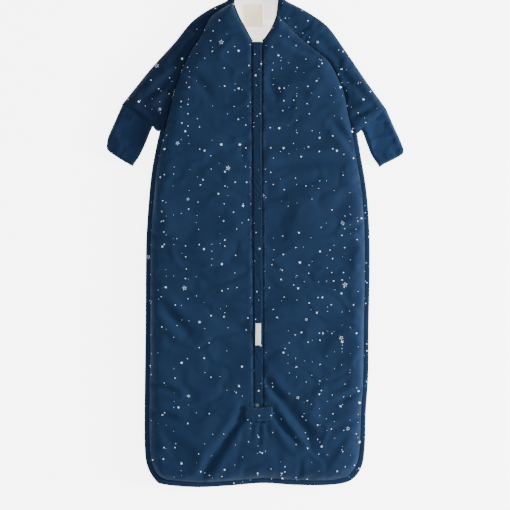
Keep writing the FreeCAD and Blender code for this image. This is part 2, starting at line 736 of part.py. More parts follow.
def pull(name, label, pin, towards):
    """A pull that lies flat from its pin `towards` +1 or -1 along the zip."""
    pin_y, pin_z = pin
    half = size("pull_half_width")
    tip = pin_y + size("pull_length") * towards
    head = pin_y - size("pin_radius") * towards
    low, high = (head, tip) if towards > 0 else (tip, head)
    plan = clipped_corners(half, low, high, size("pull_corner"))
    leaf_half = size("pin_radius")
    leaf = prism(name + "Leaf", plan, pin_z - leaf_half, pin_z + leaf_half)
    window_end = pin_y + size("pull_window") * towards
    window_start = pin_y - (half + GAP) * towards
    a, b = (window_start, window_end) if towards > 0 else (window_end, window_start)
    inside = half - size("pull_arm")
    window = box(name + "Window", (-inside, inside), (a, b), (pin_z - half, pin_z + half))
    arms = cut(name + "Arms", leaf, window)
    pin_bar = doc.addObject("Part::Cylinder", name + "Pin")
    bind(pin_bar, "Radius", size("pin_radius"))
    bind(pin_bar, "Height", half * 2 - size("pull_arm"))
    pin_bar.Placement = Placement(Vector(), Rotation(Vector(0, 1, 0), 90))
    bind(pin_bar, "Placement.Base.x", -half + size("pull_arm") / 2)
    bind(pin_bar, "Placement.Base.y", pin_y)
    bind(pin_bar, "Placement.Base.z", pin_z)
    subpart(fused(name, arms, pin_bar), label)


top_pin = slider("TopSlider", "top_slider", TOP_SLIDER_TOP, -1)
pull("TopSliderPull", "top_slider_pull", top_pin, -1)
bottom_pin = slider("BottomSlider", "bottom_slider", BOTTOM_SLIDER_LOW, 1)
pull("BottomSliderPull", "bottom_slider_pull", bottom_pin, 1)


# ---------------------------------------------------------------- neck binding

BINDING = size("binding_width")
BINDING_TOP = BODY_WALL + size("front_binding_rise")
NECK_Y = (RAGLAN[1], SHOULDER[1] + BINDING)
BACK_X = (-(RAGLAN[0] - BINDING * 1.2), RAGLAN[0] - BINDING * 1.2)
neck_space = prism("NeckSpace", neck_corners(BINDING), -JERSEY, BINDING_TOP + JERSEY)
side_band = prism("SideBand", neck_corners(ZERO), BODY_WALL, BINDING_TOP)
BINDING_Z = (BODY_WALL - JERSEY, BINDING_TOP + JERSEY)
back_neck = box("BackNeck", BACK_X, NECK_Y, BINDING_Z)
# the binding stops at the two zip edges
zip_gap = box("ZipGap", (-size("slot_half_width"), size("slot_half_width")), (NECK, RAGLAN[1]),
              BINDING_Z)
# along the front it only wraps the panel's edge, so the bag stays open below it
under_front = box("UnderFront", WHOLE_X, (NECK, RAGLAN[1]), (BINDING_Z[0], ROOM_TOP - BINDING))
side_binding = cut("SideBinding", side_band, neck_space, back_neck, zip_gap, under_front)
back_band = prism("BackBand", neck_corners(ZERO), ZERO, size("binding_rise"))
DIP_Y = SHOULDER[1] - size("back_neck_dip") - BINDING
below_back = box("BelowBack", WHOLE_X, (up(ZERO), DIP_Y), (-JERSEY, BINDING_TOP))
back_binding = cut("BackBinding", back_band, neck_space, below_back)
subpart(fused("NeckBinding", side_binding, back_binding), "neck_binding")


# ---------------------------------------------------------------- body layers

ARMHOLES = [armhole_left, armhole_right]
BACK_HOLES = [above_middle, neck_hole, back_binding] + ARMHOLES
subpart(cut("BackOuter", body_solid, body_padding, *BACK_HOLES), "back_outer")
subpart(cut("BackWadding", body_padding, body_lining, *BACK_HOLES), "back_wadding")
subpart(cut("BackLining", body_lining, body_room, *BACK_HOLES), "back_lining")

# the outer cloth turns down into the slot, so its padding is cut back by the cloth's thickness
FRONT_HOLES = [below_middle, neck_hole] + ARMHOLES
outer_front = cut("OuterFront", body_solid, slot_outside)
padding_front = cut("PaddingFront", body_padding, slot_padding)
subpart(cut("FrontOuter", outer_front, padding_front, *FRONT_HOLES), "front_outer")
front_wadding = cut("FrontWadding", padding_front, body_lining, turn_space, tape_left, tape_right,
                    *FRONT_HOLES)
subpart(front_wadding, "front_wadding")
lining_with_turn = fused("LiningWithTurn", body_lining, lining_turn)
front_lining = cut("FrontLining", lining_with_turn, body_room, channel, *FRONT_HOLES)
subpart(front_lining, "front_lining")

flange_plate = prism("FlangePlate", flange_outline(), BODY_MIDDLE - size("flange_thickness") / 2,
                     BODY_MIDDLE + size("flange_thickness") / 2)
flange = cut("Flange", flange_plate, body_solid, sleeve_solid,
             mirrored("SleeveSolidRight", sleeve_solid))
CORNER_TOP = up(size("flange_width") + size("hem_corner_radius"))
FLANGE_Z = (ZERO, BODY_TOP)
CORNER_X = size("hem_half_width") - size("hem_corner_radius")
above_corners = box("AboveCorners", WHOLE_X, (CORNER_TOP, ARMPIT[1] + GAP), FLANGE_Z)
below_corners = box("BelowCorners", WHOLE_X, (up(ZERO) - GAP, CORNER_TOP), FLANGE_Z)
between_corners = box("BetweenCorners", (-CORNER_X, CORNER_X), WHOLE_Y, FLANGE_Z)
beyond_left = box("BeyondLeft", (CORNER_X, HALF_SPAN), WHOLE_Y, FLANGE_Z)
beyond_right = box("BeyondRight", (-HALF_SPAN, -CORNER_X), WHOLE_Y, FLANGE_Z)
subpart(cut("HemEdge", flange, above_corners, beyond_left, beyond_right), "hem_edge")
hem_corner = subpart(cut("HemCornerLeft", flange, above_corners, between_corners, beyond_right),
                     "hem_corner_left")
subpart(mirrored("HemCornerRight", hem_corner), "hem_corner_right")
side_edge = subpart(cut("SideEdgeLeft", flange, below_corners, between_corners, beyond_right),
                    "side_edge_left")
subpart(mirrored("SideEdgeRight", side_edge), "side_edge_right")

guard = box("InnerZipGuard", (-size("guard_half_width"), size("guard_half_width")),
            (ZIP_END - size("guard_overrun"), NECK), (ROOM_TOP - LINING, ROOM_TOP))
subpart(guard, "inner_zip_guard")


# ---------------------------------------------------------------- sleeves, cuffs and mitten flaps

sleeve_holes = [armhole_left, cuff_room]
SLEEVE_LAYERS = (
    ("Outer", "outer", sleeve_solid, sleeve_padding),
    ("Wadding", "wadding", sleeve_padding, sleeve_lining),
    ("Lining", "lining", sleeve_lining, sleeve_room),
)
for feature, layer, whole, inside in SLEEVE_LAYERS:
    left = cut("SleeveLeft" + feature, whole, inside, *sleeve_holes)
    subpart(left, f"sleeve_left_{layer}")
    subpart(mirrored("SleeveRight" + feature, left), f"sleeve_right_{layer}")

cuff_solid = pillow("CuffSolid", cuff_outline, ZERO, CUFF_LOW, CUFF_TOP, size("cuff_bevel"))
cuff_left = subpart(cut("CuffLeft", cuff_solid, cuff_room), "cuff_left")
subpart(mirrored("CuffRight", cuff_left), "cuff_right")

MITT_TOP = CUFF_LOW - GAP
mitt_inner = along(CUFF_INNER, CUFF_START_INNER, size("mitt_length"))
mitt_outer = along(CUFF_OUTER, CUFF_START_OUTER, size("mitt_length"))
mitt_left = prism("MittLeft", cuff_corners(mitt_inner, mitt_outer),
                  MITT_TOP - size("mitt_thickness"), MITT_TOP)
subpart(mitt_left, "mitt_flap_left")
subpart(mirrored("MittRight", mitt_left), "mitt_flap_right")


# ---------------------------------------------------------------- cover strip, patch and labels

COVER_SIDE = size("slot_half_width") - GAP
PATCH_TOP = up(size("patch_low_height")) + size("patch_length")
COVER_Y = (PATCH_TOP + GAP * 3, NECK)
cover = box("ZipCover", (-COVER_SIDE, COVER_SIDE), COVER_Y,
            (COVER_TOP - size("cover_thickness"), COVER_TOP))
subpart(cover, "zip_cover")

PATCH_LOW_Z = BODY_TOP + GAP
patch_half = size("patch_half_width")
patch_round = size("patch_corner")
patch_low = up(size("patch_low_height"))
patch_plan = clipped_corners(patch_half, patch_low, PATCH_TOP, patch_round,
                             patch_round * QUARTER_BULGE)
subpart(prism("ZipEndPatch", patch_plan, PATCH_LOW_Z, PATCH_LOW_Z + size("patch_thickness")),
        "zip_end_patch")

FLAG_LOW = up(size("flag_height"))
FLAG_SEAM = size("flag_seam") - COVER_SIDE
flag = box("FlagLabel", (FLAG_SEAM, FLAG_SEAM + size("flag_width")),
           (FLAG_LOW, FLAG_LOW + size("flag_length")),
           (COVER_TOP + GAP, COVER_TOP + GAP + size("label_thickness")))
subpart(flag, "flag_label")


def neck_piece(name, label, middle, width, length):
    """A label that lies on the back lining below the back neckline."""
    _, inward_y = SHOULDER_INWARD
    top = SHOULDER[1] + BINDING * inward_y - size("back_neck_dip") - size("label_drop")
    piece = box(name, (middle - width / 2, middle + width / 2), (top - length, top),
                (BODY_WALL + GAP, BODY_WALL + GAP + size("label_thickness")))
    subpart(piece, label)


neck_piece("NeckLabel", "neck_label", -size("neck_label_offset"), size("neck_label_width"),
           size("neck_label_length"))
neck_piece("CareLabel", "care_label", size("care_label_offset"), size("care_label_width"),
           size("care_label_length"))

# ---------------------------------------------------------------- checks and files

doc.recompute()
for feature in doc.Objects:
    if "Invalid" in feature.State or "Error" in feature.State:
        raise SystemExit(f"{feature.Label} failed: {feature.State}")

os.makedirs("parts", exist_ok=True)
for piece in SUBPARTS:
    shape = piece.Shape
    if shape.isNull() or not shape.isValid():
        raise SystemExit(f"{piece.Label} has no valid shape")
for piece in SUBPARTS:
    shape = piece.Shape
    piece.Shape.exportStep(f"parts/{piece.Label}.step")
    low = shape.BoundBox
    print(f"{piece.Label:22} solids {len(shape.Solids)}  volume {shape.Volume:12.1f}  "
          f"x {low.XMin:8.2f} {low.XMax:8.2f}  y {low.YMin:8.2f} {low.YMax:8.2f}  "
          f"z {low.ZMin:6.2f} {low.ZMax:6.2f}")
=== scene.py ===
# %% [markdown]
# # A padded baby sleeping bag
# The bag lies flat on its back, and we look straight down on its front. It is soft, so nearly
# every piece here is cloth: padded panels, a lining, thin labels and a strip over the zip. The
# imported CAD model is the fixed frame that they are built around. Each piece takes its place from
# the CAD node that it stands for, and rides on the same body as that node does.

# %% Load the frame
import math
from collections import namedtuple
from functools import partial

import bmesh
import bpy
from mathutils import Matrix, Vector, geometry, kdtree, noise
from mathutils.bvhtree import BVHTree


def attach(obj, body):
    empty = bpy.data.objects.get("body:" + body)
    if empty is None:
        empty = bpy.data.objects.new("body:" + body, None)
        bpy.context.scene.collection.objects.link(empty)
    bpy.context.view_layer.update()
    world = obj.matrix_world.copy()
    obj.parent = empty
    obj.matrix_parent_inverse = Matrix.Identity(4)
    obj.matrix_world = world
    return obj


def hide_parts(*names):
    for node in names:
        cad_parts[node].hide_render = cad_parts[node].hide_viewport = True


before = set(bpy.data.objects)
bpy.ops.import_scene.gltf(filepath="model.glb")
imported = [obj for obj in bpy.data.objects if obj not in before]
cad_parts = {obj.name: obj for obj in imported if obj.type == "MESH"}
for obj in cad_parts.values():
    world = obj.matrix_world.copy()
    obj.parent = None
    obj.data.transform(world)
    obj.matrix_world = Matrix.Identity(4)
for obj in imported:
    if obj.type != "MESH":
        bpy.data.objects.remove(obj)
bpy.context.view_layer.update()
MM = 0.001

# %% [markdown]
# ## Camera and light
# A long lens high above the bag sees it without perspective that would spread its sides. A floor
# that is nearly white, a wide soft light overhead and a lower one from the right show the padding
# by soft shading, as in a shop's catalogue.

# %% Camera
CAMERA_HEIGHT = 3.0
BAG_HEIGHT = 0.03
VIEW_WIDTH = 0.933
VIEW_MIDDLE = (-0.0042, -0.0246)
camera_data = bpy.data.cameras.new("camera_above")
camera_data.sensor_width = 36
camera_data.lens = camera_data.sensor_width * (CAMERA_HEIGHT - BAG_HEIGHT) / VIEW_WIDTH
camera = bpy.data.objects.new("camera_above", camera_data)
camera.location = (*VIEW_MIDDLE, CAMERA_HEIGHT)
bpy.context.collection.objects.link(camera)
bpy.context.scene.camera = camera
print("lens", round(camera_data.lens, 1), "mm")


# %% Lights and floor
WORLD_STRENGTH = 0.85
FLOOR_GLOW = 5.0
FLOOR_DROP = 0.0004


def soft_light(name, place, width, watts):
    """A square lamp that looks from its place towards the middle of the bag."""
    data = bpy.data.lights.new(name, "AREA")
    data.shape = "SQUARE"
    data.size = width
    data.energy = watts
    lamp = bpy.data.objects.new(name, data)
    lamp.location = place
    lamp.rotation_euler = (-Vector(place)).to_track_quat("-Z", "Y").to_euler()
    bpy.context.collection.objects.link(lamp)


soft_light("light_overhead", (0.4, -0.4, 2.6), 1.5, 28)
soft_light("light_right", (2.5, -0.2, 0.85), 0.6, 190)
world = bpy.data.worlds.new("studio")
world.use_nodes = True
sky = world.node_tree.nodes["Background"].inputs
sky["Color"].default_value = (1, 1, 1, 1)
sky["Strength"].default_value = WORLD_STRENGTH
bpy.context.scene.world = world
bpy.ops.object.select_all(action="DESELECT")
bpy.ops.mesh.primitive_plane_add(size=8, location=(0, 0, -FLOOR_DROP))
floor = bpy.context.object
floor.name = "studio_floor"

# %% [markdown]
# ## Colours and a helper for materials
# Colours are written as the hex codes that a cloth printer would use. Blender works with linear
# light, so one function turns them. A few small functions add a node, set it and link it, which
# keeps each material short enough to read as a recipe.


# %% Colour and node helpers
def srgb(code):
    """A hex colour as Blender's linear red, green, blue and alpha."""
    parts = [int(code[start:start + 2], 16) / 255 for start in (1, 3, 5)]
    return (*[p / 12.92 if p <= 0.04045 else ((p + 0.055) / 1.055) ** 2.4 for p in parts], 1)


def fill(tree, node, inputs):
    """Gives each named socket of a node its value or its link."""
    for socket, value in inputs.items():
        if isinstance(value, bpy.types.NodeSocket):
            tree.links.new(value, node.inputs[socket])
        else:
            node.inputs[socket].default_value = value


def add(tree, kind, settings, inputs):
    """Adds a node. settings are its own properties, and inputs give a socket a value or a link."""
    node = tree.nodes.new("ShaderNode" + kind)
    for name, value in settings.items():
        setattr(node, name, value)
    fill(tree, node, inputs)
    return node


def math_of(tree, operation, *values):
    """The output of a Math node."""
    return add(tree, "Math", {"operation": operation}, dict(enumerate(values))).outputs[0]


def mixed(tree, share, dark, light):
    """A colour between two others."""
    return add(tree, "Mix", {"data_type": "RGBA"}, {"Factor": share, 6: dark, 7: light}).outputs[2]


def noise_of(tree, place, scale, detail):
    """Smooth noise between 0 and 1."""
    inputs = {"Vector": place, "Scale": scale, "Detail": detail}
    return add(tree, "TexNoise", {}, inputs).outputs["Fac"]


def bumped(tree, height, strength, depth):
    """The slope that a height gives to a surface. The depth is in mm."""
    inputs = {"Height": height, "Strength": strength, "Distance": depth * MM}
    return add(tree, "Bump", {}, inputs).outputs["Normal"]


def new_material(name, turn=0, offset=(0, 0)):
    """A material with its shader, and its piece's coordinates in mm, turned and moved."""
    material = bpy.data.materials.new(name)
    material.use_nodes = True
    tree = material.node_tree
    inputs = {"Vector": add(tree, "TexCoord", {}, {}).outputs["Object"], "Scale": (1 / MM,) * 3,
              "Rotation": (0, 0, math.radians(turn)), "Location": (*offset, 0)}
    place = add(tree, "Mapping", {}, inputs).outputs[0]
    return material, tree, tree.nodes["Principled BSDF"], place


print("navy in linear light", [round(v, 3) for v in srgb("#1F3B5C")])

# %% [markdown]
# ## Printed cotton jersey
# The outside is navy cotton jersey with a printed scatter of dots, small stars and a few outlined
# stars. The print could be an image, but a pattern made from cells has no edge and no repeat. A
# Voronoi texture gives every cell a middle and a random colour. The colour decides whether the
# cell holds a mark, how large it is and how it is turned, and the distance from the middle draws
# the mark. A star is a distance that changes with the angle: it is long at five tips and short at
# five notches.

# %% A printed mark
STAR_NOTCH = 0.38
OUTLINE_HOLE = 0.7
FIFTH = 2 * math.pi / 5


def printed_mark(tree, place, cell, share, radius, shape):
    """Where a mark of the print lies, as 0 or 1. The cell and the radius are in mm."""
    cells = add(tree, "TexVoronoi", {"voronoi_dimensions": "2D"},
                {"Vector": place, "Scale": 1 / cell, "Randomness": 0.94})
    chance = add(tree, "SeparateColor", {}, {"Color": cells.outputs["Color"]})
    away = add(tree, "VectorMath", {"operation": "SUBTRACT"},
               {0: place, 1: cells.outputs["Position"]})
    side = add(tree, "SeparateXYZ", {}, {"Vector": away.outputs[0]})
    across, along = side.outputs["X"], side.outputs["Y"]
    calc = partial(math_of, tree)
    squares = calc("MULTIPLY", across, across), calc("MULTIPLY", along, along)
    distance = calc("SQRT", calc("ADD", *squares))
    grown = calc("MULTIPLY_ADD", chance.outputs["Green"], 0.5 * radius, 0.75 * radius)
    reach = calc("DIVIDE", distance, grown)
    present = calc("LESS_THAN", chance.outputs["Red"], share)
    if shape == "dot":
        return calc("MULTIPLY", present, calc("LESS_THAN", reach, 1))
    angle = calc("ARCTAN2", along, across)
    turned = calc("MULTIPLY_ADD", chance.outputs["Blue"], 2 * math.pi, angle)
    fifths = calc("FRACT", calc("DIVIDE", turned, FIFTH))
    from_notch = calc("ABSOLUTE", calc("SUBTRACT", fifths, 0.5))
    from_tip = calc("MULTIPLY", calc("SUBTRACT", 0.5, from_notch), FIFTH)
    rest = calc("SINE", calc("SUBTRACT", FIFTH / 2, from_tip))
    span = calc("MULTIPLY_ADD", rest, STAR_NOTCH, calc("SINE", from_tip))
    edge = calc("DIVIDE", STAR_NOTCH * math.sin(FIFTH / 2), span)
    inside = calc("LESS_THAN", reach, edge)
    if shape == "outlined star":
        hole = calc("LESS_THAN", reach, calc("MULTIPLY", edge, OUTLINE_HOLE))
        inside = calc("SUBTRACT", inside, hole)
    return calc("MULTIPLY", present, inside)


print("a star's notch lies at", STAR_NOTCH, "of the way to its tip")

# %% [markdown]
# Jersey is knitted: rows of small loops that catch a little light, with a soft bloom of loose
# fibres over them. The loops are drawn 1.3 mm wide, a little coarser than real ones, so that a
# close view still shows them. The bloom is the shader's sheen, and slow noise gives the faint
# uneven tone of dyed cotton.

# %% Jersey
NAVY, DARKER_NAVY, INK = "#112640", "#0E2037", "#CBDCF2"
LOOP = 1.3


def knitted(tree, place, loop, depth):
    """The bump of knitted loops, from two crossing waves and fine fibres."""
    waves = [add(tree, "TexWave", {"bands_direction": direction},
                 {"Vector": place, "Scale": 0.314 / loop, "Distortion": 0.6,
                  "Detail Scale": 0.4}).outputs["Fac"] for direction in ("X", "Y")]
    loops = math_of(tree, "MULTIPLY", *waves)
    height = math_of(tree, "MULTIPLY_ADD", noise_of(tree, place, 1.6, 3), 0.5, loops)
    return bumped(tree, height, 0.45, depth)


def jersey(name, light, dark, turn=0, offset=(0, 0), printed=True):
    """Brushed cotton jersey, with or without its print, which can be turned and moved in mm."""
    material, tree, shader, place = new_material(name, turn, offset)
    cloth = mixed(tree, noise_of(tree, place, 0.03, 4), srgb(dark), srgb(light))
    if printed:
        print_mask = printed_mark(tree, place, 14, 0.2, 0.5, "dot")
        for cell, share, radius, shape in ((22, 0.36, 0.9, "dot"), (36, 0.38, 2.35, "star"),
                                           (74, 0.34, 4.0, "outlined star")):
            mark = printed_mark(tree, place, cell, share, radius, shape)
            print_mask = math_of(tree, "MAXIMUM", print_mask, mark)
        cloth = mixed(tree, print_mask, cloth, srgb(INK))
    fill(tree, shader, {
        "Base Color": cloth, "Normal": knitted(tree, place, LOOP, 0.25), "Roughness": 0.86,
        "Specular IOR Level": 0.1, "Sheen Weight": 0.03, "Sheen Roughness": 0.45})
    return material


def painted_glow(material, colour, strength):
    """Painted light: a faint glow added to pale cloth, which is no lamp, so that it stays bright where
    shade falls on it.
    """
    tree = material.node_tree
    fill(tree, tree.nodes["Principled BSDF"],
         {"Emission Color": srgb(colour), "Emission Strength": strength})


star_jersey = jersey("printed_cotton_jersey_knitted", NAVY, DARKER_NAVY)
# The right sleeve's copy of the printed jersey is darker than the rest: painted shade on the side away
# from the lamp.
sleeve_jersey = {
    "left": jersey("printed_cotton_jersey_left_sleeve", NAVY, DARKER_NAVY, -48, (37, 210)),
    "right": jersey("printed_cotton_jersey_right_sleeve_painted_shade", "#0C1D34", "#09182C", 48, (310, 55)),
}
# The strip gets a darker copy of the printed jersey: painted shade, as it lies sunk in the channel
# between the two fronts.
shaded_strip_jersey = jersey("printed_cotton_jersey_strip_painted_shade", "#0D2039", "#0A1B31", 90, (63, 12))
plain_jersey = jersey("plain_cotton_jersey_doubled", "#0E213B", "#0B1B32", printed=False)
# The left cuff, on the side of the lamp, gets a lighter copy of the plain jersey: painted light.
cuff_jersey = {
    "left": jersey("plain_cotton_jersey_left_cuff_painted_light", "#152B49", "#11243F", printed=False),
    "right": plain_jersey,
}
rib_jersey = jersey("cotton_rib_binding", "#0A1627", "#081220", printed=False)
lining_jersey = jersey("undyed_cotton_jersey_lining_painted_glow", "#FAF7F4", "#F2EFEC", printed=False)
# The lining glows faintly, though it is no lamp: painted light that keeps it bright in the shade inside
# the neck.
painted_glow(lining_jersey, "#FFFCFA", 1.0)
# The zip guard is undyed cotton like the lining, but is coloured mid grey: painted shade, as it lies
# deep in the slot under the strip.
shaded_guard_jersey = jersey("undyed_cotton_jersey_zip_guard_painted_shade", "#8F8F92", "#7E7F84", printed=False)
print("jerseys", [m.name for m in bpy.data.materials if "jersey" in m.name])

# %% [markdown]
# The woven labels are satin tape: very fine warp threads that run along the tape. The zip tape is
# a tight herringbone weave, the teeth are dyed acetal, and the sliders are zinc with a baked
# paint. Each is one short recipe.


# %% Tape, plastic and painted metal
def woven(name, light, dark, thread, roughness):
    """Woven tape with threads of the given width in mm."""
    material, tree, shader, place = new_material(name)
    warp, weft = [add(tree, "TexWave", {"bands_direction": direction},
                      {"Vector": place, "Scale": scale / thread}).outputs["Fac"]
                  for direction, scale in (("X", 0.314), ("Y", 0.157))]
    threads = math_of(tree, "MULTIPLY_ADD", weft, 0.4, warp)
    colour = mixed(tree, math_of(tree, "MULTIPLY", threads, 0.7), srgb(dark), srgb(light))
    fill(tree, shader, {"Base Color": colour, "Normal": bumped(tree, threads, 0.5, 0.12),
                        "Roughness": roughness, "Sheen Weight": 0.1})
    return material


def moulded(name, colour, roughness, grain):
    """A hard surface with fine grain: moulded plastic, or metal under paint."""
    material, tree, shader, place = new_material(name)
    specks = noise_of(tree, place, 1 / grain, 3)
    rough = add(tree, "MapRange", {}, {0: specks, 3: roughness - 0.08, 4: roughness + 0.1}).outputs[0]
    fill(tree, shader, {"Base Color": srgb(colour), "Normal": bumped(tree, specks, 0.2, 0.05),
                        "Roughness": rough})
    return material


flag_tape = woven("woven_satin_tape_flag", "#DCDFD4", "#C3C8BC", 0.5, 0.55)
# The neck and care labels glow faintly, though they are no lamps: painted light.
neck_tape = woven("woven_satin_tape_neck_label_painted_glow", "#EADBC8", "#DCC9B4", 0.5, 0.5)
painted_glow(neck_tape, "#FFE6C8", 0.92)
care_tape = woven("woven_nylon_tape_care_label_painted_glow", "#F1F0ED", "#E2E1DE", 0.45, 0.45)
painted_glow(care_tape, "#FFFDFA", 1.15)
zip_tape = woven("woven_polyester_zip_tape", "#1C3453", "#14263F", 0.6, 0.75)
zip_teeth = moulded("acetal_teeth_moulded", "#1A304D", 0.42, 0.4)
zip_paint = moulded("zinc_slider_baked_paint", "#1B3250", 0.35, 0.3)
thread = woven("polyester_sewing_thread", "#142C4E", "#0D2140", 0.3, 0.6)
floor_white, floor_tree, floor_shader, floor_place = new_material("matt_paper_floor")
paper = noise_of(floor_tree, floor_place, 3 * MM, 2)
fill(floor_tree, floor_shader, {
    "Base Color": mixed(floor_tree, paper, srgb("#FAFAFA"), srgb("#FDFDFD")), "Roughness": 0.9,
    "Emission Color": (1, 1, 1, 1), "Emission Strength": FLOOR_GLOW})
floor.data.materials.append(floor_white)
print("materials", len(bpy.data.materials))

# %% [markdown]
# ## Smooth outlines
# Each panel is cut along curves. A pattern cutter marks a few points and draws a smooth line
# through them, and that is what this does. Every marked point holds a place, the height of the
# seam there, and how wide the padding takes to rise from that seam. A corner is where two runs
# of points meet.


# %% Outline helpers
def smooth_run(marks, spacing):
    """Points about `spacing` apart on a smooth line through the marks, without the last mark."""
    marks = [Vector(m) for m in marks]
    found = []
    for number in range(len(marks) - 1):
        a, b = marks[number], marks[number + 1]
        before = marks[number - 1] if number else a + (a - b)
        after = marks[number + 2] if number + 2 < len(marks) else b + (b - a)
        steps = max(1, round(math.hypot(b[0] - a[0], b[1] - a[1]) / spacing))
        for step in range(steps):
            t = step / steps
            found.append(0.5 * (2 * a + (b - before) * t + (2 * before - 5 * a + 4 * b - after) * t ** 2
                                + (3 * a - before - 3 * b + after) * t ** 3))
    return found


def outline(runs, spacing):
    return [point for run in runs for point in smooth_run(run, spacing)]


def level(points, height, rise):
    """Marks that all lie at one height and have one rise."""
    return [(x, y, height, rise) for x, y in points]


def box(corners, height, rise):
    """Straight runs of marks from corner to corner."""
    return [level(pair, height, rise) for pair in zip(corners, corners[1:] + corners[:1])]


def at_height(height, marks):
    """Marks at one height, given as x, y and rise."""
    return [(x, y, height, rise) for x, y, rise in marks]


def set_height(run, height):
    """The same run of marks at another height."""
    return [(mark[0], mark[1], height, mark[3]) for mark in run]


print("points on a line of 100 mm", len(smooth_run([(0, 0, 0), (100, 0, 0)], 9)))

# %% [markdown]
# ## A padded panel from an outline
# A padded panel is two cloths sewn together round their edges with wadding between them. The
# inside of the outline is filled with an even net of points, and a Delaunay triangulation joins
# them. Then every point is lifted: near a seam the cloth climbs as on a quarter circle, and away
# from it the cloth rests at the thickness of the padding. The net is finer than any fold that is
# drawn on it.


# %% Net of points
SEAM_RINGS = (1.0, 2.6)


def nearest_on(a, b, x, y):
    """The share of the way from a to b where a point is nearest, and its distance there."""
    run_x, run_y = b[0] - a[0], b[1] - a[1]
    share = ((x - a[0]) * run_x + (y - a[1]) * run_y) / max(run_x ** 2 + run_y ** 2, 1e-9)
    share = max(0.0, min(1.0, share))
    return share, math.hypot(x - a[0] - share * run_x, y - a[1] - share * run_y)


def nearest_seam(loop, tree, x, y):
    """How far a point is from the seam, and the number of the seam's nearest mark."""
    closest = tree.find((x, y, 0))[1]
    gap = min(nearest_on(loop[side], loop[(side + 1) % len(loop)], x, y)[1]
              for side in (closest - 1, closest))
    return gap, closest


def points_inside(loop, tree, spacing):
    """Two rings close to the seam, then a three-way net of points over the rest."""
    found = []
    around = sum(a[0] * b[1] - b[0] * a[1] for a, b in zip(loop, loop[1:] + loop[:1]))
    turn = 1 if around > 0 else -1
    for before, here, after in zip(loop[-1:] + loop[:-1], loop, loop[1:] + loop[:1]):
        ahead = Vector((after[0] - before[0], after[1] - before[1])).normalized()
        inward = Vector((-ahead.y, ahead.x)) * turn
        for ring in SEAM_RINGS:
            x, y = here[0] + inward.x * ring, here[1] + inward.y * ring
            if nearest_seam(loop, tree, x, y)[0] > 0.9 * ring:
                found.append((x, y))
    edge = SEAM_RINGS[-1] + 0.55 * spacing
    low, high = min(p[1] for p in loop), max(p[1] for p in loop)
    height = spacing * math.sqrt(3) / 2
    for row in range(1, int((high - low) / height) + 1):
        y = low + row * height
        crossings = sorted(a[0] + (b[0] - a[0]) * (y - a[1]) / (b[1] - a[1])
                           for a, b in zip(loop, loop[1:] + loop[:1]) if (a[1] > y) != (b[1] > y))
        shift = 0.5 * (row % 2)
        for left, right in zip(crossings[::2], crossings[1::2]):
            first, last = (math.ceil(end / spacing - shift) for end in (left, right))
            for column in range(first, last):
                x = (column + shift) * spacing
                if tree.find((x, y, 0))[2] > edge or nearest_seam(loop, tree, x, y)[0] > edge:
                    found.append((x, y))
    return found


print("rings of points beside each seam, in mm:", SEAM_RINGS)

# %% [markdown]
# At every point of the net, the two faces are given as functions of a spot. A spot knows where it
# lies, how far it is from the seam (in mm as its gap, and as a share of the rise), how high the
# seam is there, and how far along the seam it lies.

# %% Panel builder
Spot = namedtuple("Spot", "x y share seam gap along")


def panel(name, runs, upper, lower, spacing):
    """A closed panel inside an outline. upper and lower give each face's height at a Spot."""
    loop = outline(runs, min(spacing, 3.6))
    tree = kdtree.KDTree(len(loop))
    for number, point in enumerate(loop):
        tree.insert((point[0], point[1], 0), number)
    tree.balance()
    inner = points_inside(loop, tree, spacing)
    along = [0.0]
    for a, b in zip(loop, loop[1:]):
        along.append(along[-1] + math.hypot(b[0] - a[0], b[1] - a[1]))
    flat = [Vector(p[:2]) for p in loop] + [Vector(p) for p in inner]
    count = len(loop)
    rim = [(n, (n + 1) % count) for n in range(count)]
    points, _, faces, sources, _, _ = geometry.delaunay_2d_cdt(flat, rim, [], 1, 1e-5)
    mesh = bmesh.new()
    top, bottom = [], []
    for point, source in zip(points, sources):
        gap, closest = nearest_seam(loop, tree, point.x, point.y)
        if any(n < count for n in source):
            corner = mesh.verts.new((point.x * MM, point.y * MM, loop[closest][2] * MM))
            top.append(corner)
            bottom.append(corner)
            continue
        near = tree.find_n((point.x, point.y, 0), 7)
        weights = [1 / (n[2] ** 2 + 0.5) for n in near]
        seam = sum(w * loop[n[1]][2] for w, n in zip(weights, near)) / sum(weights)
        rise = sum(w * loop[n[1]][3] for w, n in zip(weights, near)) / sum(weights)
        spot = Spot(point.x, point.y, min(1, gap / rise), seam, gap, along[closest])
        top.append(mesh.verts.new((point.x * MM, point.y * MM, upper(spot) * MM)))
        bottom.append(mesh.verts.new((point.x * MM, point.y * MM, lower(spot) * MM)))
    for face in faces:
        corners = [top[n].co for n in face]
        if (corners[1] - corners[0]).cross(corners[2] - corners[0]).z < 0:
            face = face[::-1]
        mesh.faces.new([top[n] for n in face])
        if any(top[n] is not bottom[n] for n in face):
            mesh.faces.new([bottom[n] for n in reversed(face)])
    on_rim = {corner for corner, under in zip(top, bottom) if corner is under}
    for edge in mesh.edges:
        edge.smooth = not all(corner in on_rim for corner in edge.verts)
    return finished(name, mesh)


def finished(name, mesh):
    """Turns the points and faces of a piece into a smooth-shaded object."""
    data = bpy.data.meshes.new(name)
    mesh.to_mesh(data)
    mesh.free()
    for polygon in data.polygons:
        polygon.use_smooth = True
    piece = bpy.data.objects.new(name, data)
    bpy.context.collection.objects.link(piece)
    return piece


def dress(piece, material, slot, body, *nodes):
    """Gives a piece its material, its body and the nodes it stands for. The slot is not used."""
    piece.data.materials.clear()
    piece.data.materials.append(material)
    if nodes:
        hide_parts(*nodes)
    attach(piece, body)
    print(piece.name, len(piece.data.vertices), "points on", body)


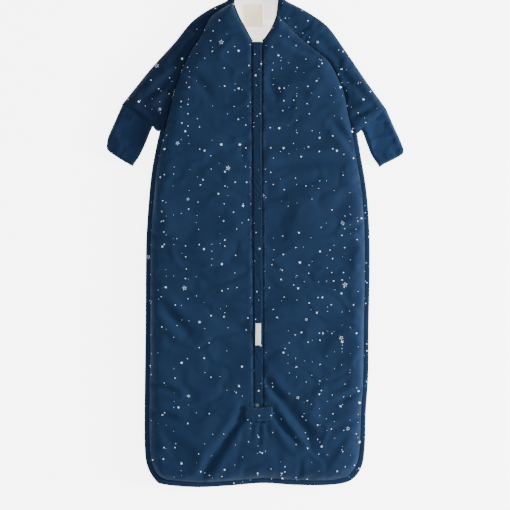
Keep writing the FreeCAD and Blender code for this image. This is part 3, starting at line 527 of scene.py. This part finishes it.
def round_rise(share):
    """How a padded face climbs from its seam: steep at first, then level."""
    return max(0.0, 1 - (1 - share) ** 2.3) ** 0.8


def seam_climb(at):
    """The climb of an outer cloth: a sharp step out of the stitched groove, then the padding."""
    return 0.33 * (1 - math.exp(-at.gap / 0.9)) + 0.67 * round_rise(at.share)


def rising_to(height, cloth=0.0):
    """A face that climbs from its seam to a height, moved on by the thickness of a cloth."""
    return lambda at: (at.seam + (height - at.seam) * round_rise(at.share)
                       + cloth * min(1, at.gap / 2))


print("at half its rise a face stands at", round(round_rise(0.5), 2), "of its height")

# %% [markdown]
# ## Folds and puckers
# Cloth over wadding is never smooth. Along a seam the stitches gather it into short puckers that
# fade within two or three centimetres. Across the panel lie broad soft swells, and at a few
# places a real fold: where the patch holds the front, where a sleeve pulls, across the belly.
# Each fold is written as its two ends, its width and its depth, all in mm.

# %% Relief
FRONT_FOLDS = [
    ((12, -250), (54, -303), 9, 3.4), ((54, -303), (100, -362), 11, 3.0),
    ((30, -316), (74, -372), 8, 3.4), ((-22, -312), (-66, -372), 9, 3.6),
    ((-66, -372), (-108, -438), 10, 3.0), ((-9, -332), (-13, -366), 4, 1.8),
    ((4, -332), (3, -372), 4, 2.0), ((17, -332), (22, -360), 4, 1.8),
    ((40, 376), (110, 338), 8, 2.6), ((140, 215), (180, 168), 8, 3.2),
    ((40, 147), (126, 141), 10, 2.0), ((-176, -112), (-122, -176), 10, 2.6),
    ((-118, 306), (-84, 262), 9, 1.8), ((-190, -262), (-150, -274), 6, 2.2),
    ((-192, -316), (-146, -322), 7, 2.4), ((190, -272), (150, -290), 6, 2.2),
    ((188, -326), (140, -338), 7, 2.4), ((192, 30), (158, 22), 6, 1.6),
    ((-192, 10), (-160, 4), 6, 1.6), ((14, 300), (40, 262), 8, 1.6),
]
SLEEVE_FOLDS = [
    ((150, 310), (206, 262), 8, 2.2), ((112, 372), (160, 322), 8, 1.6),
    ((178, 232), (214, 246), 6, 2.0),
]


def fold_depth(x, y, folds):
    """How far the folds press the cloth in at a point, in mm."""
    depth = 0
    for start, end, width, full in folds:
        share, away = nearest_on(start, end, x, y)
        if away < 3 * width:
            lip = 0.35 * math.exp(-((away - 1.7 * width) / width) ** 2)
            hollow = math.exp(-(away / width) ** 2) - lip
            depth += full * hollow * (1 - 0.7 * abs(2 * share - 1) ** 3)
    return depth


def creases(at, seed):
    """Thin soft creases that wander over the cloth, here and there, from 0 to 1."""
    line = 1 - min(1.0, 5 * abs(noise.noise(Vector((at.x / 62, at.y / 44, seed)))))
    where = max(0.0, noise.noise(Vector((at.x / 90, at.y / 90, seed + 5))) + 0.15)
    return line * line * min(1.0, 3 * where)


def swell(at, size, seed):
    """Smooth noise from about -1 to 1, with swells of the given size in mm."""
    return noise.noise(Vector((at.x / size, at.y / size, seed)))


def pucker(at, seed, pitch=11.0, reach=13.0):
    """The short gathers beside a seam: none at the seam, most a few mm from it, then fading."""
    near = at.gap / 4
    strength = near * math.exp(1 - near) * 0.35 + math.exp(-at.gap / reach) * min(1, near)
    beat = noise.noise(Vector((at.along / pitch, seed, 0))) + 0.5 * noise.noise(
        Vector((at.along / (0.45 * pitch), seed, 7)))
    return strength * beat


print("folds on the front", len(FRONT_FOLDS), "and on each sleeve", len(SLEEVE_FOLDS))

# %% [markdown]
# ## The front and the back
# The front is one padded panel with a slit for the zip. Its seam lies at mid height round the
# sides, lower at the raglan seams, and high along the slit and the neck, where the cloth is
# turned in over a binding. A mark holds x, y, the seam's height and the rise, all in mm, and a run
# at one height names that height once.

# %% Front panel's outline
LEFT_SIDE = at_height(17.8, [
    (-169, 207, 24), (-178.5, 166, 26), (-187.4, 112, 27), (-194.4, 23, 28), (-196, -36, 28),
    (-196.8, -158, 28), (-198.4, -295, 28), (-198, -370, 28), (-193.5, -405, 28), (-182, -428, 26),
    (-167, -437, 26),
])
HEM = at_height(17.8, [
    (-167, -437, 26), (-112, -442, 26), (-51, -439.4, 26), (9.7, -434.8, 26), (71, -438, 26),
    (131, -438, 26), (165, -431.5, 26),
])
RIGHT_SIDE = at_height(17.8, [
    (165, -431.5, 26), (182.5, -409, 27), (188.8, -373, 28), (190.7, -316, 28), (195, -244, 28),
    (196, -158, 28), (197.8, -50, 28), (197, 23, 28), (191.5, 95, 27), (180, 164, 26),
    (173.5, 205, 24),
])
RIGHT_RAGLAN = [
    (173.5, 205, 17.8, 24), (166, 238, 17.6, 26), (158, 276, 17.8, 28), (133, 328, 18.4, 28),
    (106, 352, 19.4, 26), (73.7, 378.8, 20.8, 24), (38.5, 414, 24, 14),
]
NECK_RIGHT = [
    (38.5, 414, 24, 14), (33.1, 405, 26, 10), (26.4, 390, 27.6, 9), (16.5, 374.5, 28.6, 8),
    (9.4, 366, 30, 6),
]
SLOT = [
    (9.4, 366, 30, 6), (9.2, 330, 31, 6), (9.2, 200, 33, 5), (10, 0, 33.2, 5), (10.8, -160, 33.2, 5),
    (11.2, -329, 33, 5),
]
SLOT_END = [(11.2, -329, 33, 5), (-6.2, -329, 33, 5)]
SLOT_LEFT = [
    (-6.2, -329, 33, 5), (-6.8, -160, 32.4, 6), (-7.8, 0, 32.2, 6), (-8.9, 200, 32, 6),
    (-9.2, 366, 31, 6),
]
NECK_LEFT = [
    (-9.2, 366, 31, 6), (-13.7, 374.5, 28.6, 8), (-22, 390, 27.6, 9), (-30.9, 406, 26, 10),
    (-38.5, 421, 24, 11), (-44.5, 439, 21, 12),
]
LEFT_RAGLAN = [
    (-44.5, 439, 23, 14), (-66, 427, 19.6, 24), (-88, 409, 18, 30), (-103.6, 377, 17.2, 32),
    (-125, 345, 16.8, 32), (-149, 286, 16.8, 30), (-160, 246, 17.2, 26), (-169, 207, 17.8, 24),
]


def front_top(at):
    crown = 1.6 * min(1, at.gap / 120) + 2.6 * swell(at, 95, 1.7) + 1.1 * swell(at, 42, 4.1)
    body = at.seam + (35.2 - at.seam) * seam_climb(at)
    lift = (crown + 2.3 * pucker(at, 2.3) - 1.6 * fold_depth(at.x, at.y, FRONT_FOLDS)
            - 1.3 * creases(at, 3.4) + 0.9 * creases(at, 11.8))
    held_down = math.exp(-((max(0, abs(at.x - 2) - 24) / 14) ** 2
                           + (max(0, abs(at.y + 330) - 30) / 12) ** 2))
    if lift > 0:
        lift *= 1 - held_down
    return body + lift * min(1, at.gap / 7)


print("length of the left side seam in mm", round(sum(
    math.dist(a[:2], b[:2]) for a, b in zip(LEFT_SIDE, LEFT_SIDE[1:]))))

# %% [markdown]
# The marks give the form, but not the way real cloth lies. A short cloth simulation adds that. The
# seams and the inner face are held, and the outer cloth is let out by a little more than it needs,
# so it buckles into soft folds of its own. Each point may only move a few millimetres.

# %% Settling
SETTLE_FRAMES = 16
SIDEWAYS = 0.5
FACES_UP = 0.02


def settle(piece, slack, most):
    """Lets the upper cloth of a panel buckle. slack is its spare length as a share, most in mm."""
    start = [v.co.copy() for v in piece.data.vertices]
    rim = {v for edge in piece.data.edges if edge.use_edge_sharp for v in edge.vertices}
    held = [v.index for v in piece.data.vertices if v.index in rim or v.normal.z < FACES_UP]
    piece.vertex_groups.new(name="held").add(held, 1.0, "REPLACE")
    cloth = piece.modifiers.new("settling", "CLOTH")
    facts = {"vertex_group_mass": "held", "shrink_min": -slack, "quality": 4, "mass": 0.12,
             "tension_stiffness": 12, "compression_stiffness": 12, "shear_stiffness": 6,
             "bending_stiffness": 0.6, "tension_damping": 8, "compression_damping": 8}
    for name, value in facts.items():
        setattr(cloth.settings, name, value)
    cloth.settings.effector_weights.gravity = 0
    cloth.collision_settings.use_collision = False
    bpy.ops.object.select_all(action="DESELECT")
    for number in range(1, SETTLE_FRAMES + 1):
        bpy.context.scene.frame_set(number)
    settled = piece.evaluated_get(bpy.context.evaluated_depsgraph_get()).data
    moved = [v.co.copy() for v in settled.vertices]
    bpy.context.scene.frame_set(1)
    piece.modifiers.remove(cloth)
    piece.vertex_groups.clear()
    far = 0
    for vertex, old, new in zip(piece.data.vertices, start, moved):
        step = new - old
        step.z = max(-most * MM, min(most * MM, step.z))
        step.x, step.y = SIDEWAYS * step.x, SIDEWAYS * step.y
        if step.length > most * MM:
            step *= most * MM / step.length
        far = max(far, step.length)
        vertex.co = old + step
    print(piece.name, "settled by up to", round(far / MM, 1), "mm")


print("frames of simulation for a piece", SETTLE_FRAMES)

# %% [markdown]
# Where the patch will lie over the lower end of the zip, the front is pressed flat, so that the
# patch rests on it and can turn up.

# %% Front panel settled
BED_MIDDLE, BED_HALF_WIDTH, BED_LOW, BED_HIGH, BED_TOP = 2, 34, -366, -294, 35.4
front_runs = [LEFT_SIDE, HEM, RIGHT_SIDE, RIGHT_RAGLAN, NECK_RIGHT, SLOT, SLOT_END, SLOT_LEFT,
              NECK_LEFT, LEFT_RAGLAN]
front = panel("front_panel", front_runs, front_top, rising_to(25.6), 4.6)
settle(front, 0.011, 2.8)
for vertex in front.data.vertices:
    x, y, z = vertex.co / MM
    if abs(x - BED_MIDDLE) < BED_HALF_WIDTH and BED_LOW < y < BED_HIGH:
        vertex.co.z = min(z, BED_TOP) * MM
dress(front, star_jersey, "navy_jersey", "bag", "front_outer", "front_wadding")

# %% [markdown]
# The back lies on the floor. It shares the side seams with the front, runs up higher behind the
# neck, and its underside is nearly flat.

# %% Back panel
BACK_RIGHT = [(173.5, 205, 14, 24), (158, 276, 7, 20), (106, 352, 5, 17), (66, 400, 5, 15),
              (43, 449, 6, 12)]
BACK_NECK = [(43, 449, 6, 12), (0, 455, 6, 12), (-43, 449, 6, 12)]
BACK_LEFT = [(-43, 449, 6, 12), (-66, 400, 5, 15), (-103.6, 352, 5, 17), (-152, 280, 7, 20),
             (-169, 207, 14, 24)]


def back_under(at):
    resting = 0.5 + 0.5 * swell(at, 60, 9.2)
    return max(0.05, at.seam * (1 - round_rise(at.share)) + resting * min(1, at.gap / 20)
               + 0.7 * pucker(at, 5.1) * min(1, at.gap / 7))


back = panel("back_panel", [LEFT_SIDE, HEM, RIGHT_SIDE, BACK_RIGHT, BACK_NECK, BACK_LEFT],
             rising_to(9.6), back_under, 6.0)
dress(back, star_jersey, "navy_jersey", "bag", "back_outer", "back_wadding")

# %% [markdown]
# ## The flanged edge
# Both panels are stitched together a finger's width inside their edge, and the rest stands out
# as a flat flange round the sides and the hem.

# %% Flange
OUTER_EDGE = level([
    (-177.5, 210), (-187, 167.6), (-196, 112.7), (-203.1, 23), (-204.8, -35.5), (-205.5, -158),
    (-207.2, -295.4), (-207, -374), (-202.6, -410.7), (-188.4, -437), (-171.2, -446.4),
    (-112.2, -451.3), (-50.9, -448.4), (9.7, -443.8), (70.8, -447.3), (131.2, -447.3),
    (170.6, -439.4), (191.6, -413.6), (197.8, -374.1), (199.5, -316.4), (204, -244.2),
    (204.8, -158.1), (206.8, -50.2), (205.9, 23), (200.4, 95.3), (188.4, 167.6), (182.8, 202),
], 17.8, 3)
seam_line = outline([LEFT_SIDE, HEM, RIGHT_SIDE], 9)
INNER_EDGE = level([(p[0] * 0.987, p[1] + (3 if p[1] < -400 else 0)) for p in seam_line], 17.8, 3)


def flange_wave(at):
    return 1.1 * swell(at, 26, 3.3)


flange = panel(
    "flanged_edge", [OUTER_EDGE, level([(182.8, 202), (173, 203)], 17.8, 3), INNER_EDGE[::-1],
                     level([(-168, 207), (-177.5, 210)], 17.8, 3)],
    lambda at: at.seam + 1.9 * round_rise(at.share) + flange_wave(at),
    lambda at: at.seam - 1.2 * round_rise(at.share) + flange_wave(at), 3.0)
dress(flange, star_jersey, "navy_jersey", "bag", "hem_edge", "hem_corner_left",
      "hem_corner_right", "side_edge_left", "side_edge_right")

# %% [markdown]
# ## Sleeves and cuffs
# A raglan sleeve runs from the neck to the wrist in one piece. Each is a flat tube: an upper and
# a lower padded half that share the seams along the shoulder and under the arm. The cuff is a
# plain doubled tube at its end. The edges of a sleeve are its outer edge, wrist and underarm.

# %% Sleeves
SLEEVE_EDGES = {"left": [
    [(45, 450, 15, 10), (56, 442, 12, 12), (80, 430, 12, 15), (104, 415.5, 12, 17),
     (132, 393.5, 12, 19), (164.2, 348.8, 12, 20), (200.4, 295.7, 12, 20), (238, 243.5, 12, 16)],
    [(238, 243.5, 12, 16), (215, 225, 12, 16), (193.2, 206.9, 12, 16)],
    [(193.2, 206.9, 12, 16), (184, 199, 13, 16), (173, 203, 16, 16)],
], "right": [
    [(-50, 450, 15, 10), (-58, 442.5, 12, 12), (-89.1, 427.4, 12, 15), (-121.7, 403.7, 12, 18),
     (-154.3, 364.3, 12, 20), (-198.2, 315.8, 12, 20), (-249.5, 252, 12, 16)],
    [(-249.5, 252, 12, 16), (-221.4, 236, 12, 16), (-193.4, 213.6, 12, 16)],
    [(-193.4, 213.6, 12, 16), (-184, 203, 13, 16), (-169, 207, 16, 16)],
]}
FRONT_RAGLAN = {
    "left": RIGHT_RAGLAN + [(39.5, 432, 21, 10), (41, 444, 18, 9), (45, 450, 15, 9)],
    "right": LEFT_RAGLAN[::-1] + [(-50, 450, 15, 9)],
}
BACK_RAGLAN = {
    "left": BACK_RIGHT + [(45, 450, 8, 9)],
    "right": BACK_LEFT[::-1] + [(-50, 450, 8, 9)],
}


def sleeve_top(at):
    body = at.seam + (22.6 - at.seam) * seam_climb(at)
    lift = (1.5 * swell(at, 60, 6.4) + 0.9 * swell(at, 26, 8.3) + 1.6 * pucker(at, 3.9)
            - 1.5 * fold_depth(abs(at.x), at.y, SLEEVE_FOLDS) - creases(at, 8.7)
            + 1.2 * min(1, at.gap / 40))
    return body + lift * min(1, at.gap / 7)


def sleeve_under(at):
    resting = 0.4 * (1 + swell(at, 45, 2.1))
    return max(0.05, at.seam * (1 - round_rise(at.share)) + resting * min(1, at.gap / 20))


def joined(name, pieces):
    """Several meshes as one piece, with the seams that they share closed."""
    bpy.ops.object.select_all(action="DESELECT")
    for piece in pieces:
        piece.select_set(True)
    bpy.context.view_layer.objects.active = pieces[0]
    bpy.ops.object.join()
    piece = bpy.context.object
    piece.name = name
    return piece


for side in ("left", "right"):
    outer, wrist, underarm = SLEEVE_EDGES[side]
    halves = [
        panel(f"sleeve_{side}_upper",
              [FRONT_RAGLAN[side], outer, set_height(wrist, 16), underarm],
              sleeve_top, rising_to(18), 4.6),
        panel(f"sleeve_{side}_lower",
              [BACK_RAGLAN[side], outer, set_height(wrist, 7), underarm],
              rising_to(5.4), sleeve_under, 6.0),
    ]
    settle(halves[0], 0.013, 2.6)
    sleeve = joined(f"sleeve_{side}", halves)
    dress(sleeve, sleeve_jersey[side], "navy_jersey", "bag",
          f"sleeve_{side}_outer", f"sleeve_{side}_wadding")

# %% Cuffs
CUFF_EDGES = {
    "left": [
        [(233.6, 250.4, 7), (239.6, 240, 7), (250, 216, 7), (262, 190, 7), (269.5, 171, 6)],
        [(269.5, 171, 6), (268, 162, 5), (258, 155, 4), (240, 146, 4), (224, 139, 5)],
        [(224, 139, 5), (211, 158, 7), (203, 177, 7), (194, 201, 7), (187, 210, 7)],
        [(187, 210, 7), (209, 231, 7), (233.6, 250.4, 7)],
    ],
    "right": [
        [(-245, 258.5, 7), (-251, 247, 7), (-262, 222, 7), (-275, 192, 7), (-277.5, 176, 6)],
        [(-277.5, 176, 6), (-275, 168, 5), (-262, 158, 4), (-246, 148, 4), (-230, 139, 5)],
        [(-230, 139, 5), (-218, 156, 7), (-206.5, 179, 7), (-195.5, 206, 7), (-188, 219, 7)],
        [(-188, 219, 7), (-215, 242, 7), (-245, 258.5, 7)],
    ],
}


def cuff_top(at):
    lift = 1.2 * swell(at, 30, 2.9) + 0.6 * swell(at, 13, 5.5) + 1.0 * pucker(at, 8.1, 8, 7)
    return at.seam + (16.6 - at.seam) * round_rise(at.share) + lift * min(1, at.gap / 5)


def open_end(runs, height):
    """The cuff's outline, with its open end and the end in the sleeve at a height of their own."""
    return [at_height(10 if number in (0, 2) else height, run) for number, run in enumerate(runs)]


for side in ("left", "right"):
    runs = CUFF_EDGES[side]
    halves = [
        panel(f"cuff_tube_{side}_upper", open_end(runs, 13.4), cuff_top, rising_to(14.6), 3.0),
        panel(f"cuff_{side}_lower", open_end(runs, 3.8), rising_to(5.0), rising_to(2.9), 4.0),
    ]
    settle(halves[0], 0.016, 1.6)
    cuff = joined(f"cuff_tube_{side}", halves)
    dress(cuff, cuff_jersey[side], "plain_jersey", "bag", f"cuff_{side}")

# %% [markdown]
# Under each cuff lies its mitten flap, folded back so that the hand is free. It rides on its own
# body, because it turns over the hand.

# %% Mitten flaps
MITT_LEFT = [[(225.2, 137.2), (236.4, 144.6), (252, 154), (268, 163)],
             [(268, 163), (262, 184), (252, 207.5)],
             [(252, 207.5), (228, 196), (208, 180.5)],
             [(208, 180.5), (215, 160), (225.2, 137.2)]]
MITT_EDGES = {"left": MITT_LEFT,
              "right": [[(-x - 4, y + 2) for x, y in run] for run in MITT_LEFT]}
for side in ("left", "right"):
    flap = panel(
        f"mitten_{side}", [level(run, 1.5, 1) for run in MITT_EDGES[side]],
        lambda at: at.seam + 0.8 * round_rise(at.share) + 0.12 * swell(at, 18, 1),
        lambda at: at.seam - 0.8 * round_rise(at.share) + 0.12 * swell(at, 18, 1), 3.0)
    dress(flap, plain_jersey, "plain_jersey", f"mitt_{side}", f"mitt_flap_{side}")

# %% [markdown]
# ## Lining
# Inside, undyed jersey lies against the padding. It shows in the neck, and through the front
# when the strip over the zip is folded back. Each lining is a thin sheet, cut a little smaller
# than the panel that it lines.


# %% Linings
LINING_CLOTH = 0.8


def inset(run, share_x, shift_y, height):
    """A seam drawn in a little, and set to a height of its own."""
    return [(mark[0] * share_x, mark[1] + shift_y, height, mark[3]) for mark in run]


def lined(piece, nodes, body="bag", material=lining_jersey, slot="lining_jersey"):
    """Dresses a sheet with its material and body, and hides the nodes it stands for."""
    dress(piece, material, slot, body, *nodes)


def lining_floor(at):
    """The back lining's height: gently uneven, but level under the labels at the neck."""
    bed = math.exp(-((max(0, abs(at.x) - 32) / 9) ** 2 + (max(0, abs(at.y - 424) - 34) / 8) ** 2))
    uneven = 0.45 * swell(at, 40, 7.7) * min(1, at.gap / 10) * (1 - bed)
    return at.seam + (10.9 - 0.5 * bed - at.seam) * round_rise(at.share) + uneven


back_lining = panel(
    "lining_back",
    [inset(LEFT_SIDE, 0.972, 0, 16.8), inset(HEM, 0.972, 6, 16.8),
     inset(RIGHT_SIDE, 0.972, 0, 16.8), inset(BACK_RIGHT, 0.985, -2, 11),
     inset(BACK_NECK, 0.97, -3, 8), inset(BACK_LEFT, 0.985, -2, 11)],
    lining_floor, lambda at: lining_floor(at) - LINING_CLOTH * min(1, at.gap / 2), 6.5)
lined(back_lining, ["back_lining"])

front_lining_runs = [
    inset(LEFT_SIDE, 0.972, 0, 18.4), inset(HEM, 0.972, 6, 18.4), inset(RIGHT_SIDE, 0.972, 0, 18.4),
    inset(RIGHT_RAGLAN, 0.985, -3, 19.5), inset(NECK_RIGHT, 1.0, -4, 23.6),
    level([(17, 355), (17, -336)], 24.6, 4), level([(17, -336), (-17, -336)], 24.6, 4),
    level([(-17, -336), (-17, 355)], 24.6, 4),
    inset(NECK_LEFT, 1.0, -4, 23.6), inset(LEFT_RAGLAN, 0.985, -3, 19.5),
]
front_lining = panel("lining_front", front_lining_runs, rising_to(25.5),
                     rising_to(25.5, -LINING_CLOTH), 6.5)
lined(front_lining, ["front_lining"])

for side in ("left", "right"):
    outer, wrist, underarm = SLEEVE_EDGES[side]
    centre = (128, 320) if side == "left" else (-130, 325)

    def shrunk(run, height, centre=centre):
        return [(centre[0] + (m[0] - centre[0]) * 0.95, centre[1] + (m[1] - centre[1]) * 0.95,
                 height, m[3]) for m in run]

    halves = [
        panel(f"sleeve_{side}_lining_upper",
              [shrunk(FRONT_RAGLAN[side], 17), shrunk(outer, 11), shrunk(wrist, 14),
               shrunk(underarm, 11)],
              rising_to(17.6), rising_to(17.6, -LINING_CLOTH), 7),
        panel(f"sleeve_{side}_lining_lower",
              [shrunk(BACK_RAGLAN[side], 6.2), shrunk(outer, 11), shrunk(wrist, 7),
               shrunk(underarm, 11)],
              rising_to(5.6, LINING_CLOTH), rising_to(5.6), 7),
    ]
    sleeve_lining = joined(f"lining_sleeve_{side}", halves)
    lined(sleeve_lining, [f"sleeve_{side}_lining"])

guard = panel(
    "guard_inside_zip", box([(-14.6, -331), (14.6, -331), (14.6, 364), (-14.6, 364)], 24.4, 1),
    lambda at: at.seam + 0.3 + 0.1 * swell(at, 20, 3),
    lambda at: at.seam - 0.3 + 0.1 * swell(at, 20, 3), 3.4)
lined(guard, ["inner_zip_guard"], material=shaded_guard_jersey)

# %% [markdown]
# ## Neck binding
# A narrow strip of dark rib is folded over the raw edge of the neck. Its path starts at one side
# of the zip, goes up round the back of the neck and comes down to the other side.


# %% Binding
STRIP_SIDES = 10


def closed_tube(mesh, rings):
    """Joins rings of points, one after the other, into a bar with closed ends."""
    count = len(rings[0])
    for one, two in zip(rings, rings[1:]):
        for step in range(count):
            after = (step + 1) % count
            mesh.faces.new((one[step], one[after], two[after], two[step]))
    mesh.faces.new(rings[0])
    mesh.faces.new(rings[-1])


def strip_along(name, marks, spacing, width, thickness):
    """A rounded strip that follows the marks, each an x, y and height in mm."""
    path = smooth_run(marks, spacing) + [Vector(marks[-1])]
    mesh = bmesh.new()
    rings = []
    for number, point in enumerate(path):
        ahead = path[min(number + 1, len(path) - 1)] - path[max(number - 1, 0)]
        across = Vector((-ahead.y, ahead.x, 0)).normalized()
        up = across.cross(ahead.normalized())
        if up.z < 0:
            up = -up
        ring = []
        for step in range(STRIP_SIDES):
            turn = 2 * math.pi * step / STRIP_SIDES
            offset = across * (width / 2 * math.cos(turn)) + up * (thickness / 2 * math.sin(turn))
            ring.append(mesh.verts.new((point + offset) * MM))
        rings.append(ring)
    closed_tube(mesh, rings)
    bmesh.ops.recalc_face_normals(mesh, faces=mesh.faces)
    return finished(name, mesh)


NECK_PATH = [
    (-9.4, 366.6, 27.4), (-14.6, 374.5, 28), (-22.8, 390, 27.2), (-31.6, 406, 25.8),
    (-38.5, 421, 24), (-43.8, 437, 20), (-43, 444.5, 15), (-36, 448.8, 11.2), (-20, 452.4, 10),
    (0, 453.8, 9.6), (20, 452.4, 10), (34, 449, 11.2), (40, 444, 15), (39.2, 435, 20),
    (37, 416, 24.4), (33.6, 405, 26), (26.9, 390, 27.4), (17, 374.5, 28.2), (9.6, 366.6, 27.6),
]
binding = strip_along("binding_neck", NECK_PATH, 3.0, 4.4, 5.2)
dress(binding, rib_jersey, "neck_rib", "bag", "neck_binding")

# %% [markdown]
# ## The strip over the zip
# The strip is one narrow length of doubled jersey. Its topstitching pulls it into fine slanted
# wrinkles all along.

# %% Cover strip
COVER_EDGES = [
    [(-8.4, 365), (-8, 200), (-7, 0), (-6, -160), (-5.6, -296)], [(-5.6, -296), (10.8, -296)],
    [(10.8, -296), (10.2, -160), (9.4, 0), (8.6, 200), (8.4, 365)], [(8.4, 365), (-8.4, 365)],
]


def strip_wrinkle(at):
    slant = math.sin((at.y + 1.6 * at.x + 26 * swell(at, 40, 4)) * 2 * math.pi / 12)
    return (0.45 * slant + 0.7 * swell(at, 9, 6)) * (0.6 + 0.8 * swell(at, 70, 2))


cover = panel(
    "strip_over_zip", [level(run, 34.8, 1.2) for run in COVER_EDGES],
    lambda at: at.seam + 0.75 * round_rise(at.share) + strip_wrinkle(at) * min(1, at.gap / 2.5),
    lambda at: at.seam - 0.5 * round_rise(at.share), 1.9)
dress(cover, shaded_strip_jersey, "navy_jersey", "zip_cover", "zip_cover")

# %% [markdown]
# ## Patch and labels
# A padded patch covers the lower end of the zip. The flag label is folded into the seam of the
# strip, and two more labels are sewn inside the neck. All three labels are bare woven tape.

# %% Patch
PATCH_EDGES = [
    [(-22.8, -300), (-23.6, -314), (-22.4, -327)], [(-22.4, -327), (2, -328.6), (27, -326.6)],
    [(27, -326.6), (28.6, -313), (27, -299.4)], [(27, -299.4), (3, -302), (-22.8, -300)],
]


def patch_top(at):
    return (at.seam + 2.6 * round_rise(at.share) + 0.6 * math.exp(-((at.y + 306) / 4) ** 2)
            + (0.5 * swell(at, 14, 3) + 0.8 * pucker(at, 6.6, 6, 6)) * min(1, at.gap / 3))


patch = panel("patch_over_zip_end", [level(run, 37.2, 5) for run in PATCH_EDGES], patch_top,
              lambda at: at.seam - 1.0 * round_rise(at.share), 1.6)
dress(patch, star_jersey, "navy_jersey", "zip_end_patch", "zip_end_patch")


# %% Labels
def label(name, corners, height, thickness, lift):
    """A small woven label between four corners, with a gentle wave along it."""
    return panel(
        name, box(corners, height, 0.4),
        lambda at: at.seam + thickness / 2 * round_rise(at.share) + lift * swell(at, 12, 5.5),
        lambda at: at.seam - thickness / 2 * round_rise(at.share) + lift * swell(at, 12, 5.5), 1.2)


flag = label("label_flag", [(-3.6, -189.3), (6.4, -189.1), (6.8, -149.3), (-3.2, -149.6)],
             36.4, 0.6, 0.4)
lined(flag, ["flag_label"], "flag_label", flag_tape, "flag_tape")
neck = label("label_neck", [(-26.3, 394), (10.4, 393.8), (10.4, 436.8), (-26.3, 436.6)],
             11.7, 0.6, 0.4)
lined(neck, ["neck_label"], "bag", neck_tape, "neck_label_tape")
care = label("label_care", [(11.6, 407.5), (28.2, 406.9), (28.4, 436.8), (11.8, 436.8)],
             11.5, 0.5, 0.3)
lined(care, ["care_label"], "care_label", care_tape, "care_tape")

# %% [markdown]
# ## Stitching
# A row of stitches is many short threads, each a rounded bar that dips into the cloth at both
# ends. A line of marks gives the row, and a ray from above finds the cloth under each stitch.


# %% Stitches
THREAD_SIDES = 6
ENDS_DIP, MIDDLE_DIP = 0.16, -0.1


def stitch_row(name, marks, target, body, length=3.0, pause=1.2, thick=0.45):
    """A row of stitches that lies on a piece along the marks, given as x and y in mm."""
    tree = BVHTree.FromObject(target, bpy.context.evaluated_depsgraph_get())
    path = smooth_run([(*m, 0) for m in marks], 0.4)
    mesh = bmesh.new()
    number = 0
    while number < len(path) - 1:
        start = path[number]
        ahead = number
        while ahead < len(path) - 1 and (path[ahead] - start).length < length:
            ahead += 1
        points = []
        for share in (0, 0.25, 0.5, 0.75, 1):
            spot = start.lerp(path[ahead], share)
            hit = tree.ray_cast(Vector((spot.x * MM, spot.y * MM, 1)), Vector((0, 0, -1)))[0]
            if hit:
                dip = ENDS_DIP if share in (0, 1) else MIDDLE_DIP
                points.append(hit / MM - Vector((0, 0, dip * thick / 0.45)))
        if len(points) == 5:
            across = (path[ahead] - start).normalized().cross(Vector((0, 0, 1)))
            turns = [2 * math.pi * step / THREAD_SIDES for step in range(THREAD_SIDES)]
            closed_tube(mesh, [[
                mesh.verts.new((point + across * thick / 2 * math.cos(turn)
                                + Vector((0, 0, thick / 2 * math.sin(turn)))) * MM)
                for turn in turns] for point in points])
        number = ahead
        while number < len(path) - 1 and (path[number] - path[ahead]).length < pause:
            number += 1
    bmesh.ops.recalc_face_normals(mesh, faces=mesh.faces)
    dress(finished(name, mesh), thread, "navy_jersey", body)


stitch_row("stitches_strip_left", [(-13.4, 360), (-13, 200), (-12.4, 0), (-11.6, -160), (-11, -326)],
           front, "bag")
stitch_row("stitches_strip_right", [(13.6, 360), (13.8, 200), (14.4, 0), (15.4, -160), (16, -326)],
           front, "bag")
stitch_row("stitches_cover", [(5.6, 362), (6, 200), (6.8, 0), (7.6, -160), (8, -294)], cover,
           "zip_cover", 2.6, 1.0, 0.35)
for place, marks in (("low", [(-20.4, -325), (2, -326.6), (25, -324.6)]),
                     ("sides", [(-20.8, -301.4), (-21.6, -314), (-20.4, -324)]),
                     ("right", [(25.2, -301), (26.6, -313), (25.2, -323.6)]),
                     ("top", [(-20.8, -303.6), (3, -305.2), (25, -303)])):
    stitch_row(f"stitches_patch_{place}", marks, patch, "zip_end_patch", 2.4, 0.9, 0.4)

# %% [markdown]
# ## The zip keeps its CAD shape
# Tapes, teeth, sliders, pulls and stops have their true form already. They only need their
# finish.

# %% Zip finish
for finish, nodes in (
        (zip_tape, ("zip_tape_left", "zip_tape_right")),
        (zip_teeth, ("zip_teeth_left", "zip_teeth_right")),
        (zip_paint, ("zip_bottom_stop", "zip_top_stops", "top_slider", "top_slider_pull",
                     "bottom_slider", "bottom_slider_pull"))):
    for node in nodes:
        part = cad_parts[node]
        if not part.material_slots:
            part.data.materials.append(finish)
        for slot in part.material_slots:
            slot.material = finish
    print(finish.name, "on", *nodes)
